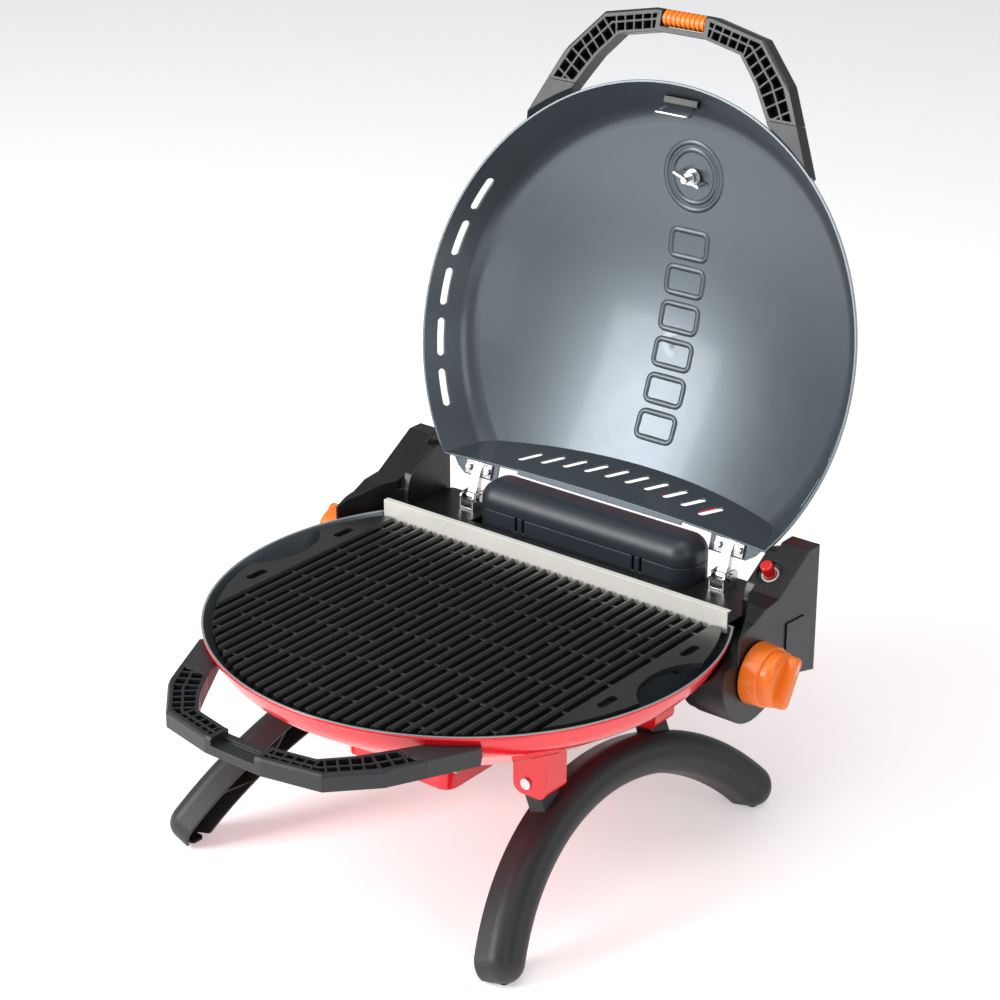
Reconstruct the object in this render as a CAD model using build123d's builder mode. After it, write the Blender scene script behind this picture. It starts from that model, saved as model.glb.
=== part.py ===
from build123d import *
from math import atan2, cos, degrees, radians, sin
import os

os.makedirs("parts", exist_ok=True)

# Portable clamshell gas grill, lid open, legs unfolded.
# Row frame: +X right, -Y front, +Z up, ground at z = 0. Lengths in mm, angles in degrees.
# "Level", "side" and "front" planes below put the bowl's axis at local x = y = 0.

# ------------------------------------------------------------------ driving dimensions
bowl_y = -24.0            # where the bowl's axis stands in the row frame
sheet = 1.6               # enamelled steel
shell = 2.5               # moulded plastic wall
fit = 0.2                 # between fixed pieces that sit on each other
running = 0.05            # radial clearance of a pin in its hole
moving = 0.6              # beside a piece that moves

rim_z = 212.0
bowl_radius = 228.0
bowl_depth = 79.0
floor_radius = 134.0      # where the floor meets the cone
cone_radius = 219.0       # where the cone meets the upright wall
cone_drop = 22.0          # from the rim to the cone's top
bowl_back = 115.0         # flat rear wall
rim_bead = 2.2
drain_radius = 11.0
drain_y = -30.0

grate_radius = 218.0
grate_top = rim_z - 1.0
grate_back = 108.0
bar_pitch = 12.0
bar_width = 5.2
bar_crown = 2.2
bar_height = 9.0
bars_each_side = 15
rib_width = 3.0
rib_height = 6.0
rib_spacing = 60.0
rib_group = 5             # gaps that share one row of ribs
plate_thickness = 5.0
notch_centre = 229.0
notch_reach = 36.0
notch_half = 50.0

strip_y = 112.0
strip_half = 192.0
strip_top = rim_z + 13.0
strip_height = 20.0
strip_flange = 5.0

deck_front = 118.0
deck_back = 203.0
deck_top = rim_z - 3.0
deck_bottom = 152.0
deck_half = 187.0
tower_inner = 187.6
tower_outer = 224.0
tower_top = 265.0
lid_clear_radius = 237.0  # towers stand outside this circle about the bowl
knob_y = 107.0
knob_z = 181.0
boss_radius = 46.0
boss_inner = 180.0

knob_radius = 26.5
knob_depth = 37.0
skirt_depth = 17.0
cap_depth = 29.0
stem_radius = 3.0

box_half = 119.0
box_front = 155.0
box_back = 202.0
box_floor = deck_top - 8.0
box_seam = 225.0
box_top = 248.0

hinge_y = 181.0
hinge_z = 219.0
hinge_x = 141.0
hinge_pin_radius = 2.5
bracket_width = 16.0
arm_width = 9.0
lid_open = 106.2          # from closed to the rest pose

lid_radius = 232.5
lid_gap = 1.3             # closed lid above the bowl's rim
lid_height = 81.0
lid_setback = 3.0
cap_radius = 580.0
wall_slope = 0.557        # inward run of the lid's side wall per unit of height
lid_shoulder = 28.0
lid_back = 143.6          # foot of the lid's rear wall
lid_back_lean = 18.4
lid_back_curve = 3000.0
hem_half = 92.0
hem_reach = 4.0
ear_inner = 119.5
ear_outer = 177.0
ear_back = 163.0
ear_height = 8.0
side_slot_length = 36.0
side_slot_width = 7.0
side_slot_pitch = 12.4
side_slot_height = 15.0
rear_slot_length = 25.0
rear_slot_width = 8.0
rear_slot_pitch = 22.6
rear_slot_count = 10

gauge_y = -150.0          # thermometer, in front of the lid's axis
gauge_radius = 26.0
gauge_height = 12.0
gauge_stem_radius = 3.0
needle_cold = 215.0       # where the needle points when cold, from the dial's +X

handle_height = 15.0
lower_handle_z = 188.0
lid_handle_z = 207.5
grip_half = 22.5
grip_radius = 7.5
grip_y = -283.6

leg_pivot_x = 130.0
leg_pivot_z = 125.0
leg_lean = 22.2
leg_curve_y = 8.0         # arch centre line, in front of or behind the bowl's axis
leg_curve_drop = 254.0    # from the pivot to the arch's centre, along the leg
leg_curve_radius = 226.5
leg_curve_half_angle = 52.6
leg_width = 37.0
leg_outward = 17.0
leg_inward = 13.0
leg_wall = 2.6
stem_half_length = 11.6
front_stem_y = -70.0
rear_stem_y = 84.0
leg_pin_radius = 3.0
bracket_sheet = 2.0
foot_pad = 2.5

tray_half = 58.0
tray_front = -98.0
tray_back = 24.0
tray_top = 121.5
tray_depth = 25.0
tray_lip = 7.0

outer_ring = 100.0
inner_ring = 55.0
burner_tube = 7.0
feed_tube = 6.4
riser_tube = 5.0
burner_z = 168.0
outer_feed_x = 60.0
inner_feed_x = -40.0
inner_feed_z = 151.0
electrode_x = 75.0
electrode_z = 182.0
electrode_radius = 3.5
valve_x = 211.0
manifold_y = 136.0
manifold_z = 189.0
right_tube_y = 153.0
left_tube_y = 160.0
lead_y = 172.0
lead_z = 188.0

# ------------------------------------------------------------------ frames and helpers
bowl_axis = Axis((0, bowl_y, 0), (0, 0, 1))
floor_z = rim_z - bowl_depth
lid_rim_z = rim_z + lid_gap
far = 700.0


def level(z):
    """Plan view at height z."""
    return Plane(origin=(0, bowl_y, z))


def side(x):
    """Side view at x: local x runs to the back, local y up."""
    return Plane(origin=(x, bowl_y, 0), x_dir=(0, 1, 0), z_dir=(1, 0, 0))


def front(y):
    """Front view at y: local x runs right, local y up, and it extrudes to the front."""
    return Plane(origin=(0, bowl_y + y, 0), x_dir=(1, 0, 0), z_dir=(0, -1, 0))


lid_swing = (
    Location((0, bowl_y + hinge_y, hinge_z))
    * Location((0, 0, 0), (-lid_open, 0, 0))
    * Location((0, -bowl_y - hinge_y, -hinge_z))
)


def opened(plane):
    """A plane of the closed lid, carried to the open pose."""
    return Plane(lid_swing * plane.location)


lid_origin = (0, bowl_y + lid_setback, lid_rim_z)
lid_profile = opened(Plane(origin=lid_origin, x_dir=(0, 1, 0), z_dir=(1, 0, 0)))
lid_axis = Axis(lid_profile.origin, lid_profile.y_dir)


def write(builder, name):
    """Labels a finished piece and writes its STEP file."""
    builder.part.label = name
    export_step(builder.part, f"parts/{name}.step")


def inset(corners, gap):
    """Corners of an open outline, moved to its left by gap, ending at the same height."""
    spots = [Vector(*corner) for corner in corners]
    runs = [(b - a).normalized() for a, b in zip(spots, spots[1:])]
    normals = [Vector(-run.Y, run.X) for run in runs]
    moved = [spots[0] + normals[0] * gap]
    for before, after, spot in zip(normals, normals[1:], spots[1:]):
        moved.append(spot + (before + after) * (gap / (1 + before.dot(after))))
    moved.append(spots[-1] + Vector(gap / normals[-1].X, 0))
    return moved


def bowl_block(gap):
    """The bowl as a solid, its surface moved inwards by gap."""
    corners = [
        (0, floor_z),
        (floor_radius, floor_z),
        (cone_radius, rim_z - cone_drop),
        (bowl_radius, rim_z),
    ]
    with BuildPart() as block:
        with BuildSketch(side(0)):
            with BuildLine():
                outline = FilletPolyline(*inset(corners, gap), radius=[60 - gap, 40 - gap])
                Polyline(outline @ 1, (0, rim_z), outline @ 0)
            make_face()
        revolve(axis=bowl_axis)
        with BuildSketch(level(0)):
            with Locations((0, bowl_back - gap + far / 2)):
                Rectangle(far, far)
        extrude(amount=rim_z + 1, mode=Mode.SUBTRACT)
    return block.part


def lid_block(gap, drop=0.0):
    """The lid as a solid, its surface moved inwards by gap, reaching drop below its rim."""
    top_radius = lid_radius - wall_slope * lid_height
    inward = gap * (1 + wall_slope**2) ** 0.5
    with BuildPart() as block:
        with BuildSketch(lid_profile) as profile:
            with BuildLine():
                Polyline(
                    (0, -drop),
                    (lid_radius - inward + wall_slope * drop, -drop),
                    (top_radius - inward, lid_height),
                    (0, lid_height),
                    close=True,
                )
            make_face()
            with Locations((0, lid_height - cap_radius)):
                Circle(cap_radius - gap, mode=Mode.INTERSECT)
            shoulder = profile.vertices().sort_by(Axis.X)[-2]
            fillet(shoulder, radius=lid_shoulder - gap)
        revolve(axis=lid_axis)
        rear_wall = Plane(
            origin=(0, bowl_y + lid_back, lid_rim_z),
            x_dir=(1, 0, 0),
            z_dir=(0, -sin(radians(lid_back_lean)), cos(radians(lid_back_lean))),
        )
        with BuildSketch(opened(rear_wall)):
            with Locations((0, lid_back_curve)):
                Circle(lid_back_curve + gap)
        extrude(amount=200, both=True, mode=Mode.SUBTRACT)
    return block.part


def rod(start, end, radius):
    """A round bar from start to end, both in bowl coordinates."""
    a = Vector(start[0], start[1] + bowl_y, start[2])
    b = Vector(end[0], end[1] + bowl_y, end[2])
    with BuildPart() as bar:
        with BuildSketch(Plane(origin=a, z_dir=b - a)):
            Circle(radius)
        extrude(amount=(b - a).length)
    return bar.part


def rod_x(x0, x1, y, z, radius):
    """A round bar along X."""
    return rod((x0, y, z), (x1, y, z), radius)


def rod_y(x, y0, y1, z, radius):
    """A round bar along Y."""
    return rod((x, y0, z), (x, y1, z), radius)


def bent_tube(points, radius, bend, bore=0.0):
    """A bent tube along points given in bowl coordinates."""
    spots = [Vector(x, y + bowl_y, z) for x, y, z in points]
    with BuildPart() as tube:
        with BuildLine() as route:
            FilletPolyline(*spots, radius=bend)
        with BuildSketch(Plane(origin=spots[0], z_dir=route.line % 0)):
            Circle(radius)
            if bore:
                Circle(bore, mode=Mode.SUBTRACT)
        sweep()
    return tube


# ------------------------------------------------------------------ bowl and what it holds
bowl_outside = bowl_block(0)
bowl_inside = bowl_block(sheet)
side_holes = (
    (manifold_y, manifold_z, 6),
    (right_tube_y, burner_z, 6),
    (left_tube_y, burner_z, 6),
    (lead_y, lead_z, 3),
)
wall_holes = (
    (outer_feed_x, burner_z, feed_tube + fit),
    (inner_feed_x, inner_feed_z, feed_tube + fit),
    (electrode_x, electrode_z, electrode_radius + fit),
)

with BuildPart() as bowl:
    add(bowl_outside)
    with BuildSketch(side(0)):
        with Locations((bowl_radius - rim_bead, rim_z - rim_bead)):
            Circle(rim_bead)
    revolve(axis=bowl_axis)
    with BuildSketch(level(0)):
        with Locations((0, bowl_back + far / 2)):
            Rectangle(far, far)
    extrude(amount=rim_z + 1, mode=Mode.SUBTRACT)
    add(bowl_inside, mode=Mode.SUBTRACT)
    with BuildSketch(level(0)):
        with Locations((0, drain_y)):
            Circle(drain_radius)
    extrude(amount=rim_z - bowl_depth / 2, mode=Mode.SUBTRACT)
    for hole_x, hole_z, hole in wall_holes:
        add(rod_y(hole_x, 90, 130, hole_z, hole), mode=Mode.SUBTRACT)
write(bowl, "bowl")


with BuildPart() as grate:
    last_bar = bars_each_side * bar_pitch
    with BuildSketch(front(-grate_radius)):
        with GridLocations(bar_pitch, 0, 2 * bars_each_side + 1, 1):
            Polygon(
                (-bar_width / 2, grate_top - bar_height),
                (-bar_width / 2, grate_top - bar_crown),
                (-bar_crown / 2, grate_top),
                (bar_crown / 2, grate_top),
                (bar_width / 2, grate_top - bar_crown),
                (bar_width / 2, grate_top - bar_height),
                align=None,
            )
    extrude(amount=-2 * grate_radius)
    rib_z = grate_top - bar_height
    with BuildSketch(level(rib_z)):
        for group in range(-bars_each_side // rib_group, bars_each_side // rib_group + 1):
            shift = rib_spacing / 2 * (group % 2)
            with Locations((group * rib_group * bar_pitch, shift)):
                with GridLocations(0, rib_spacing, 1, 7):
                    Rectangle((rib_group + 1) * bar_pitch, rib_width)
    extrude(amount=rib_height)
    with BuildSketch(level(grate_top - plate_thickness)):
        with Locations((-last_bar - 30, 0), (last_bar + 30, 0)):
            Rectangle(60, far)
        with Locations(
            *[(s * (last_bar + 12.5), y) for s in (-1, 1) for y in (-59, 56)]
        ):
            SlotOverall(24, 8, rotation=90, mode=Mode.SUBTRACT)
    extrude(amount=plate_thickness)
    with BuildSketch(level(grate_top - bar_height - 1)):
        Circle(grate_radius)
        with Locations((0, grate_back + far / 2)):
            Rectangle(far, far, mode=Mode.SUBTRACT)
        with Locations((-notch_centre, 0), (notch_centre, 0)):
            Ellipse(notch_reach, notch_half, mode=Mode.SUBTRACT)
    extrude(amount=bar_height + 2, mode=Mode.INTERSECT)
write(grate, "cooking_grate")

with BuildPart() as back_strip:
    with BuildSketch(level(strip_top - strip_height)):
        with Locations((0, strip_y)):
            Rectangle(2 * strip_half, 1.0)
    extrude(amount=strip_height)
    with BuildSketch(level(strip_top - 1.0)):
        with Locations((0, strip_y + strip_flange / 2)):
            Rectangle(2 * strip_half, strip_flange + 1.0)
    extrude(amount=1.0)
write(back_strip, "back_strip")

# ------------------------------------------------------------------ burners and gas parts
with BuildPart() as outer_burner:
    with BuildSketch(side(0)):
        with Locations((outer_ring, burner_z)):
            Circle(burner_tube)
    revolve(axis=bowl_axis)
    ring_y = (outer_ring**2 - outer_feed_x**2) ** 0.5
    add(rod_y(outer_feed_x, ring_y, deck_front + 10, burner_z, feed_tube))
write(outer_burner, "outer_burner")

with BuildPart() as inner_burner:
    with BuildSketch(side(0)):
        with Locations((inner_ring, burner_z)):
            Circle(burner_tube)
    revolve(axis=bowl_axis)
    ring_y = (inner_ring**2 - inner_feed_x**2) ** 0.5
    add(rod((inner_feed_x, ring_y, burner_z), (inner_feed_x, ring_y, inner_feed_z), riser_tube))
    add(rod_y(inner_feed_x, ring_y - 9, deck_front + 10, inner_feed_z, feed_tube))
write(inner_burner, "inner_burner")

with BuildPart() as burner_stand:
    stand_top = burner_z - burner_tube - fit
    stand_half = outer_ring + 8
    with BuildSketch(front(6)):
        with BuildLine():
            Polyline(
                (-stand_half, stand_top),
                (stand_half, stand_top),
                (stand_half, stand_top - sheet),
                (28, stand_top - sheet),
                (28, floor_z + sheet + fit),
                (-28, floor_z + sheet + fit),
                (-28, stand_top - sheet),
                (-stand_half, stand_top - sheet),
                close=True,
            )
        make_face()
    extrude(amount=12)
    with BuildSketch(front(10)):
        with Locations((0, (stand_top + floor_z) / 2)):
            Rectangle(44, 16)
    extrude(amount=20, mode=Mode.SUBTRACT)
write(burner_stand, "burner_stand")

for name, s in (("right", 1), ("left", -1)):
    with BuildPart() as valve:
        with BuildSketch(level(knob_z - 17)):
            with Locations((s * valve_x, knob_y)):
                RectangleRounded(14, 16, 2)
        extrude(amount=28)
        add(rod_x(s * valve_x, s * (tower_outer + 1), knob_y, knob_z, 6))
        stem_hole = rod_x(s * valve_x, s * (tower_outer + 2), knob_y, knob_z, stem_radius + running)
        add(stem_hole, mode=Mode.SUBTRACT)
    write(valve, f"gas_valve_{name}")

right_tube = bent_tube(
    [
        (valve_x, knob_y + 8.3, burner_z),
        (valve_x, right_tube_y, burner_z),
        (outer_feed_x, right_tube_y, burner_z),
        (outer_feed_x, deck_front + 11, burner_z),
    ],
    4,
    8,
    2.8,
)
write(right_tube, "gas_tube_right")

left_tube = bent_tube(
    [
        (-valve_x, knob_y + 8.3, burner_z),
        (-valve_x, left_tube_y, burner_z),
        (inner_feed_x - 30, left_tube_y, burner_z),
        (inner_feed_x, left_tube_y - 14, inner_feed_z),
        (inner_feed_x, deck_front + 11, inner_feed_z),
    ],
    4,
    6,
    2.8,
)
write(left_tube, "gas_tube_left")

manifold = bent_tube(
    [
        (-valve_x, knob_y + 8.3, manifold_z),
        (-valve_x, manifold_y, manifold_z),
        (valve_x, manifold_y, manifold_z),
        (valve_x, knob_y + 8.3, manifold_z),
    ],
    4.5,
    8,
)
write(manifold, "gas_manifold")

hose_x = 24.0
hose_y = 180.0
regulator_z = 224.0
with BuildPart() as regulator:
    add(rod_x(-62, -18, hose_y, regulator_z, 9))
    add(rod((-40, hose_y, regulator_z - 14), (-40, hose_y, regulator_z + 12), 18))
write(regulator, "gas_regulator")

with BuildPart() as inlet:
    add(rod_x(-88, -62.2, hose_y, regulator_z, 7))
    with BuildSketch(side(-76)):
        with Locations((hose_y, regulator_z)):
            RegularPolygon(10, 6)
    extrude(amount=12)
    add(rod_x(-88, -70, hose_y, regulator_z, 3), mode=Mode.SUBTRACT)
write(inlet, "gas_inlet")

hose = bent_tube(
    [
        (-17.8, hose_y, regulator_z),
        (hose_x, hose_y, regulator_z),
        (hose_x, hose_y, manifold_z),
        (hose_x, manifold_y + 4.8, manifold_z),
    ],
    4,
    12,
)
write(hose, "regulator_tube")

# ------------------------------------------------------------------ rear deck and side towers
with BuildPart() as deck:
    with BuildSketch(level(deck_bottom)):
        with Locations((0, (deck_front + deck_back) / 2)):
            RectangleRounded(2 * deck_half, deck_back - deck_front, 6)
    extrude(amount=deck_top - deck_bottom)
    with BuildSketch(level(deck_bottom - 1)):
        with Locations((0, (deck_front + deck_back) / 2)):
            RectangleRounded(2 * (deck_half - shell), deck_back - deck_front - 2 * shell, 3)
    extrude(amount=box_floor - 2 * shell - fit - deck_bottom + 1, mode=Mode.SUBTRACT)
    with BuildSketch(level(box_floor - fit)):
        with Locations((0, (box_front + deck_back) / 2)):
            Rectangle(2 * (box_half + 2), deck_back - box_front + 6)
    extrude(amount=20, mode=Mode.SUBTRACT)
    with BuildSketch(level(deck_bottom)):
        with Locations((hose_x, hose_y)):
            Circle(6)
    extrude(amount=80, mode=Mode.SUBTRACT)
    for hole_x, hole_z, hole in wall_holes:
        add(rod_y(hole_x, 110, 130, hole_z, hole), mode=Mode.SUBTRACT)
    for tube_y, tube_z, hole in side_holes:
        add(rod_x(-far, far, tube_y, tube_z, hole), mode=Mode.SUBTRACT)
write(deck, "rear_deck")


def tower_outline(gap):
    """Side view of a tower, its edge moved in by gap: body behind, knob boss in front."""
    with BuildSketch() as outline:
        with BuildLine():
            Polyline(
                (knob_y - 2, knob_z + boss_radius),
                (knob_y + 14, 234),
                (141, 236),
                (187, tower_top),
                (deck_back, tower_top),
                (deck_back, deck_bottom - 7),
                (181, deck_bottom - 1),
                (knob_y + 14, knob_z - boss_radius + 2),
                close=True,
            )
        make_face()
        with Locations((knob_y, knob_z)):
            Circle(boss_radius)
        if gap:
            offset(amount=-gap)
    return outline.sketch_local


def tower_clearance(s, gap):
    """What a tower stays clear of, grown by gap: the bowl, the closing lid and the lid's corner."""
    with BuildPart() as space:
        with BuildSketch(level(rim_z - 14 - gap)):
            with Locations((0, lid_setback)):
                Circle(lid_clear_radius + gap)
            with Locations((0, 141 + gap + far / 2)):
                Rectangle(far, far, mode=Mode.SUBTRACT)
        extrude(amount=100 + gap)
        with BuildSketch(side(s * (tower_inner - 9))):
            with Locations((155, 263 - gap)):
                Rectangle(110, 74)
            with Locations((hinge_y, hinge_z)):
                Circle(40.0 - gap, mode=Mode.SUBTRACT)
        extrude(amount=s * (17.5 + gap))
        add(bowl_block(-3 - gap))
    return space.part


def tower_cavity(s):
    """The hollow of a tower, a wall's thickness inside its outer surfaces."""
    with BuildPart() as hollow:
        with BuildSketch(side(s * (tower_inner + shell))):
            add(tower_outline(shell))
        extrude(amount=s * (tower_outer - tower_inner - 2 * shell))
        with BuildSketch(side(s * (boss_inner + shell))):
            with Locations((knob_y, knob_z)):
                Circle(boss_radius - 1 - shell)
            with Locations((deck_front - fit - shell + far / 2, knob_z)):
                Rectangle(far, far, mode=Mode.SUBTRACT)
        extrude(amount=s * (tower_inner - boss_inner + 1))
        add(tower_clearance(s, shell), mode=Mode.SUBTRACT)
    return hollow.part


slope_normal = Vector(0, -(tower_top - 236), 187 - 141).normalized()
igniter_spot = (201.0, 160.0, 236 + (160 - 141) * (tower_top - 236) / (187 - 141))
button_radius = 5.6
recess_radius = 11.5
recess_depth = 5.0
collar_radius = 8.0
igniter_plane = Plane(
    origin=(igniter_spot[0], igniter_spot[1] + bowl_y, igniter_spot[2]),
    x_dir=(1, 0, 0),
    z_dir=slope_normal,
)

for name, s in (("right", 1), ("left", -1)):
    with BuildPart() as tower:
        with BuildSketch(side(s * tower_inner)):
            add(tower_outline(0))
        extrude(amount=s * (tower_outer - tower_inner))
        with BuildSketch(side(s * boss_inner)):
            with Locations((knob_y, knob_z)):
                Circle(boss_radius - 1)
            with Locations((deck_front - fit + far / 2, knob_z)):
                Rectangle(far, far, mode=Mode.SUBTRACT)
        extrude(amount=s * (tower_inner - boss_inner + 1))
        add(tower_clearance(s, 0), mode=Mode.SUBTRACT)
        add(tower_cavity(s), mode=Mode.SUBTRACT)
        for tube_y, tube_z, hole in side_holes:
            add(rod_x(s * (tower_inner - 1), s * (tower_inner + 6), tube_y, tube_z, hole), mode=Mode.SUBTRACT)
        add(rod_x(s * (tower_outer - 8), s * (tower_outer + 2), knob_y, knob_z, 10), mode=Mode.SUBTRACT)
        if s > 0:
            with BuildSketch(igniter_plane.offset(-1)):
                Circle(recess_radius + shell)
            extrude(amount=-recess_depth - 1.5)
            with BuildSketch(igniter_plane):
                Circle(collar_radius + fit)
            extrude(amount=-40, mode=Mode.SUBTRACT)
            with BuildSketch(igniter_plane.offset(-recess_depth)):
                Circle(recess_radius)
            extrude(amount=20, mode=Mode.SUBTRACT)
    write(tower, f"side_tower_{name}")

    with BuildPart() as panel:
        with BuildSketch(side(s * (tower_outer + fit))):
            with BuildLine():
                Polyline((154, 160), (190, 160), (190, 198), (182, 206), (154, 208), close=True)
            make_face()
        extrude(amount=s * 1.2)
    write(panel, f"side_panel_{name}")

# ------------------------------------------------------------------ igniter
with BuildPart() as igniter_body:
    with BuildSketch(igniter_plane.offset(-recess_depth + 1)):
        Circle(collar_radius)
    extrude(amount=-4)
    with BuildSketch(igniter_plane.offset(-recess_depth - 3)):
        Circle(collar_radius - 0.8)
    extrude(amount=-26)
    with BuildSketch(igniter_plane):
        Circle(button_radius + 0.5)
    extrude(amount=-recess_depth - 14, mode=Mode.SUBTRACT)
write(igniter_body, "igniter_body")

with BuildPart() as button:
    with BuildSketch(igniter_plane.offset(-recess_depth - 7)):
        Circle(button_radius)
    extrude(amount=recess_depth + 17)
    fillet(button.edges().group_by(Axis(igniter_plane.origin, igniter_plane.z_dir))[-1], radius=1.5)
write(button, "igniter_button")

with BuildPart() as electrode:
    add(rod_y(electrode_x, 100, deck_front + 4, electrode_z, electrode_radius))
    add(rod_y(electrode_x, 88, 100, electrode_z, 1.2))
write(electrode, "spark_electrode")

lead = bent_tube(
    [
        (electrode_x, deck_front + 4.5, electrode_z),
        (electrode_x, deck_front + 12, electrode_z),
        (150, lead_y, lead_z),
        (201, lead_y, lead_z),
        (201, 179, 217),
    ],
    1.6,
    4,
)
write(lead, "igniter_lead")

# ------------------------------------------------------------------ knobs
for name, s in (("right", 1), ("left", -1)):
    with BuildPart() as knob:
        knob_back = s * (tower_outer + 1.5)
        with BuildSketch(side(knob_back)):
            with Locations((knob_y, knob_z)):
                Circle(knob_radius + 1)
        with BuildSketch(side(knob_back + s * skirt_depth)):
            with Locations((knob_y, knob_z)):
                Circle(knob_radius)
        loft()
        fillet(knob.edges().sort_by(Axis.X)[-1 if s > 0 else 0], radius=1.5)
        with BuildSketch(side(knob_back + s * (skirt_depth - 1))):
            with Locations((knob_y, knob_z)):
                Circle(knob_radius - 2)
        extrude(amount=s * (cap_depth - skirt_depth + 1))
        fillet(knob.edges().sort_by(Axis.X)[-1 if s > 0 else 0], radius=7)
        with BuildSketch(side(knob_back + s * skirt_depth)):
            with Locations((knob_y, knob_z)):
                SlotOverall(2 * knob_radius - 5, 15, rotation=60)
        extrude(amount=s * (knob_depth - skirt_depth), taper=4)
        grip_end = knob.faces().sort_by(Axis.X)[-1 if s > 0 else 0]
        fillet(grip_end.edges(), radius=3)
        add(rod_x(s * (valve_x + 4), s * (tower_outer + 2), knob_y, knob_z, stem_radius))
    write(knob, f"burner_knob_{name}")

# ------------------------------------------------------------------ storage box
box_centre = (box_front + box_back) / 2
with BuildPart() as box_base:
    with BuildSketch(level(box_floor)):
        with Locations((0, box_centre)):
            RectangleRounded(2 * box_half, box_back - box_front, 18)
    extrude(amount=box_seam - box_floor - fit / 2)
    with BuildSketch(level(box_floor + shell)):
        with Locations((0, box_centre)):
            RectangleRounded(2 * (box_half - shell), box_back - box_front - 2 * shell, 16)
    extrude(amount=box_seam, mode=Mode.SUBTRACT)
    with BuildSketch(level(box_floor - 1)):
        with Locations((hose_x, hose_y)):
            Circle(6)
    extrude(amount=10, mode=Mode.SUBTRACT)
    clasp_slots = [(s * 66 + d, box_seam - 7) for s in (-1, 1) for d in (-4, 4)]
    with BuildSketch(front(box_front + shell + 1)):
        with Locations(*clasp_slots):
            Rectangle(2.6, 14)
    extrude(amount=10, mode=Mode.SUBTRACT)
write(box_base, "storage_box")

with BuildPart() as box_cover:
    with BuildSketch(level(box_seam + fit / 2)):
        with Locations((0, box_centre)):
            RectangleRounded(2 * box_half, box_back - box_front, 18)
    extrude(amount=box_top - box_seam - fit / 2)
    fillet(box_cover.faces().sort_by(Axis.Z)[-1].edges(), radius=17.0)
    offset(amount=-shell, openings=box_cover.faces().sort_by(Axis.Z)[0])
write(box_cover, "storage_box_cover")

# ------------------------------------------------------------------ lid hinges
for name, s in (("right", 1), ("left", -1)):
    with BuildPart() as bracket:
        with BuildSketch(level(deck_top + fit)):
            with Locations((s * hinge_x, hinge_y)):
                Rectangle(bracket_width, 22)
        extrude(amount=hinge_z - deck_top + 6)
        with BuildSketch(level(deck_top + fit + sheet)):
            with Locations((s * hinge_x, hinge_y)):
                Rectangle(bracket_width - 2 * sheet, 30)
        extrude(amount=60, mode=Mode.SUBTRACT)
        upright = bracket.edges().filter_by(Axis.X).group_by(Axis.Z)[-1]
        fillet(upright, radius=6)
        add(rod_x(-far, far, hinge_y, hinge_z, hinge_pin_radius + running), mode=Mode.SUBTRACT)
    write(bracket, f"hinge_bracket_{name}")

    with BuildPart() as pin:
        half = bracket_width / 2 + 1.6
        centre = s * hinge_x
        add(rod_x(centre - half, centre + half, hinge_y, hinge_z, hinge_pin_radius))
        for end in (-1, 1):
            head_start, head_end = centre + end * (half - 1.4), centre + end * (half + 0.6)
            add(rod_x(head_start, head_end, hinge_y, hinge_z, hinge_pin_radius + 1.6))
    write(pin, f"hinge_pin_{name}")

    ear_z = lid_rim_z + ear_height
    with BuildPart() as arm:
        with BuildSketch(opened(side(s * hinge_x - arm_width / 2))):
            with Locations((hinge_y, hinge_z)):
                Circle(6)
            with BuildLine():
                Polyline(
                    (hinge_y, hinge_z - 4.5),
                    (hinge_y, hinge_z + 4.5),
                    (ear_back - 1, ear_z - fit),
                    (ear_back - 14, ear_z - fit),
                    (ear_back - 14, ear_z - fit - 2),
                    (ear_back - 4, ear_z - fit - 5),
                    close=True,
                )
            make_face()
        extrude(amount=arm_width)
        with BuildSketch(opened(level(ear_z - fit - 2))):
            with Locations((s * hinge_x, ear_back - 8)):
                Rectangle(30, 13)
        extrude(amount=2)
        with BuildSketch(opened(side(s * hinge_x - far / 2))):
            with Locations((hinge_y, hinge_z)):
                Circle(hinge_pin_radius + running)
        extrude(amount=far, mode=Mode.SUBTRACT)
        with BuildSketch(opened(level(ear_z - 20))):
            with Locations(*[(s * hinge_x + d, ear_back - 8) for d in (-10.8, 10.8)]):
                Circle(2 + fit)
        extrude(amount=40, mode=Mode.SUBTRACT)
    write(arm, f"hinge_arm_{name}")

screw_spots = [(s * hinge_x + d, ear_back - 8) for s in (-1, 1) for d in (-10.8, 10.8)]
with BuildPart() as hinge_screws:
    with BuildSketch(opened(level(ear_z - fit - 5))):
        with Locations(*screw_spots):
            Circle(2)
    extrude(amount=sheet + 5 + fit)
    with BuildSketch(opened(level(ear_z + sheet + fit / 2))):
        with Locations(*screw_spots):
            Circle(3.6)
    extrude(amount=2.2)
    with BuildSketch(opened(level(ear_z - 2 * fit - 2 - 2.4))):
        with Locations(*screw_spots):
            RegularPolygon(3.4, 6)
    extrude(amount=2.4)
write(hinge_screws, "hinge_screws")

# ------------------------------------------------------------------ lid
gauge_tilt = 15.0
cap_centre_z = lid_rim_z + lid_height - cap_radius
gauge_reach = gauge_y - lid_setback
gauge_top_z = cap_centre_z + (cap_radius**2 - gauge_reach**2) ** 0.5
gauge_plane = opened(
    Plane(
        origin=(0, bowl_y + gauge_y, gauge_top_z),
        x_dir=(1, 0, 0),
        z_dir=(0, gauge_reach / cap_radius, (gauge_top_z - cap_centre_z) / cap_radius),
    )
)

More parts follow.
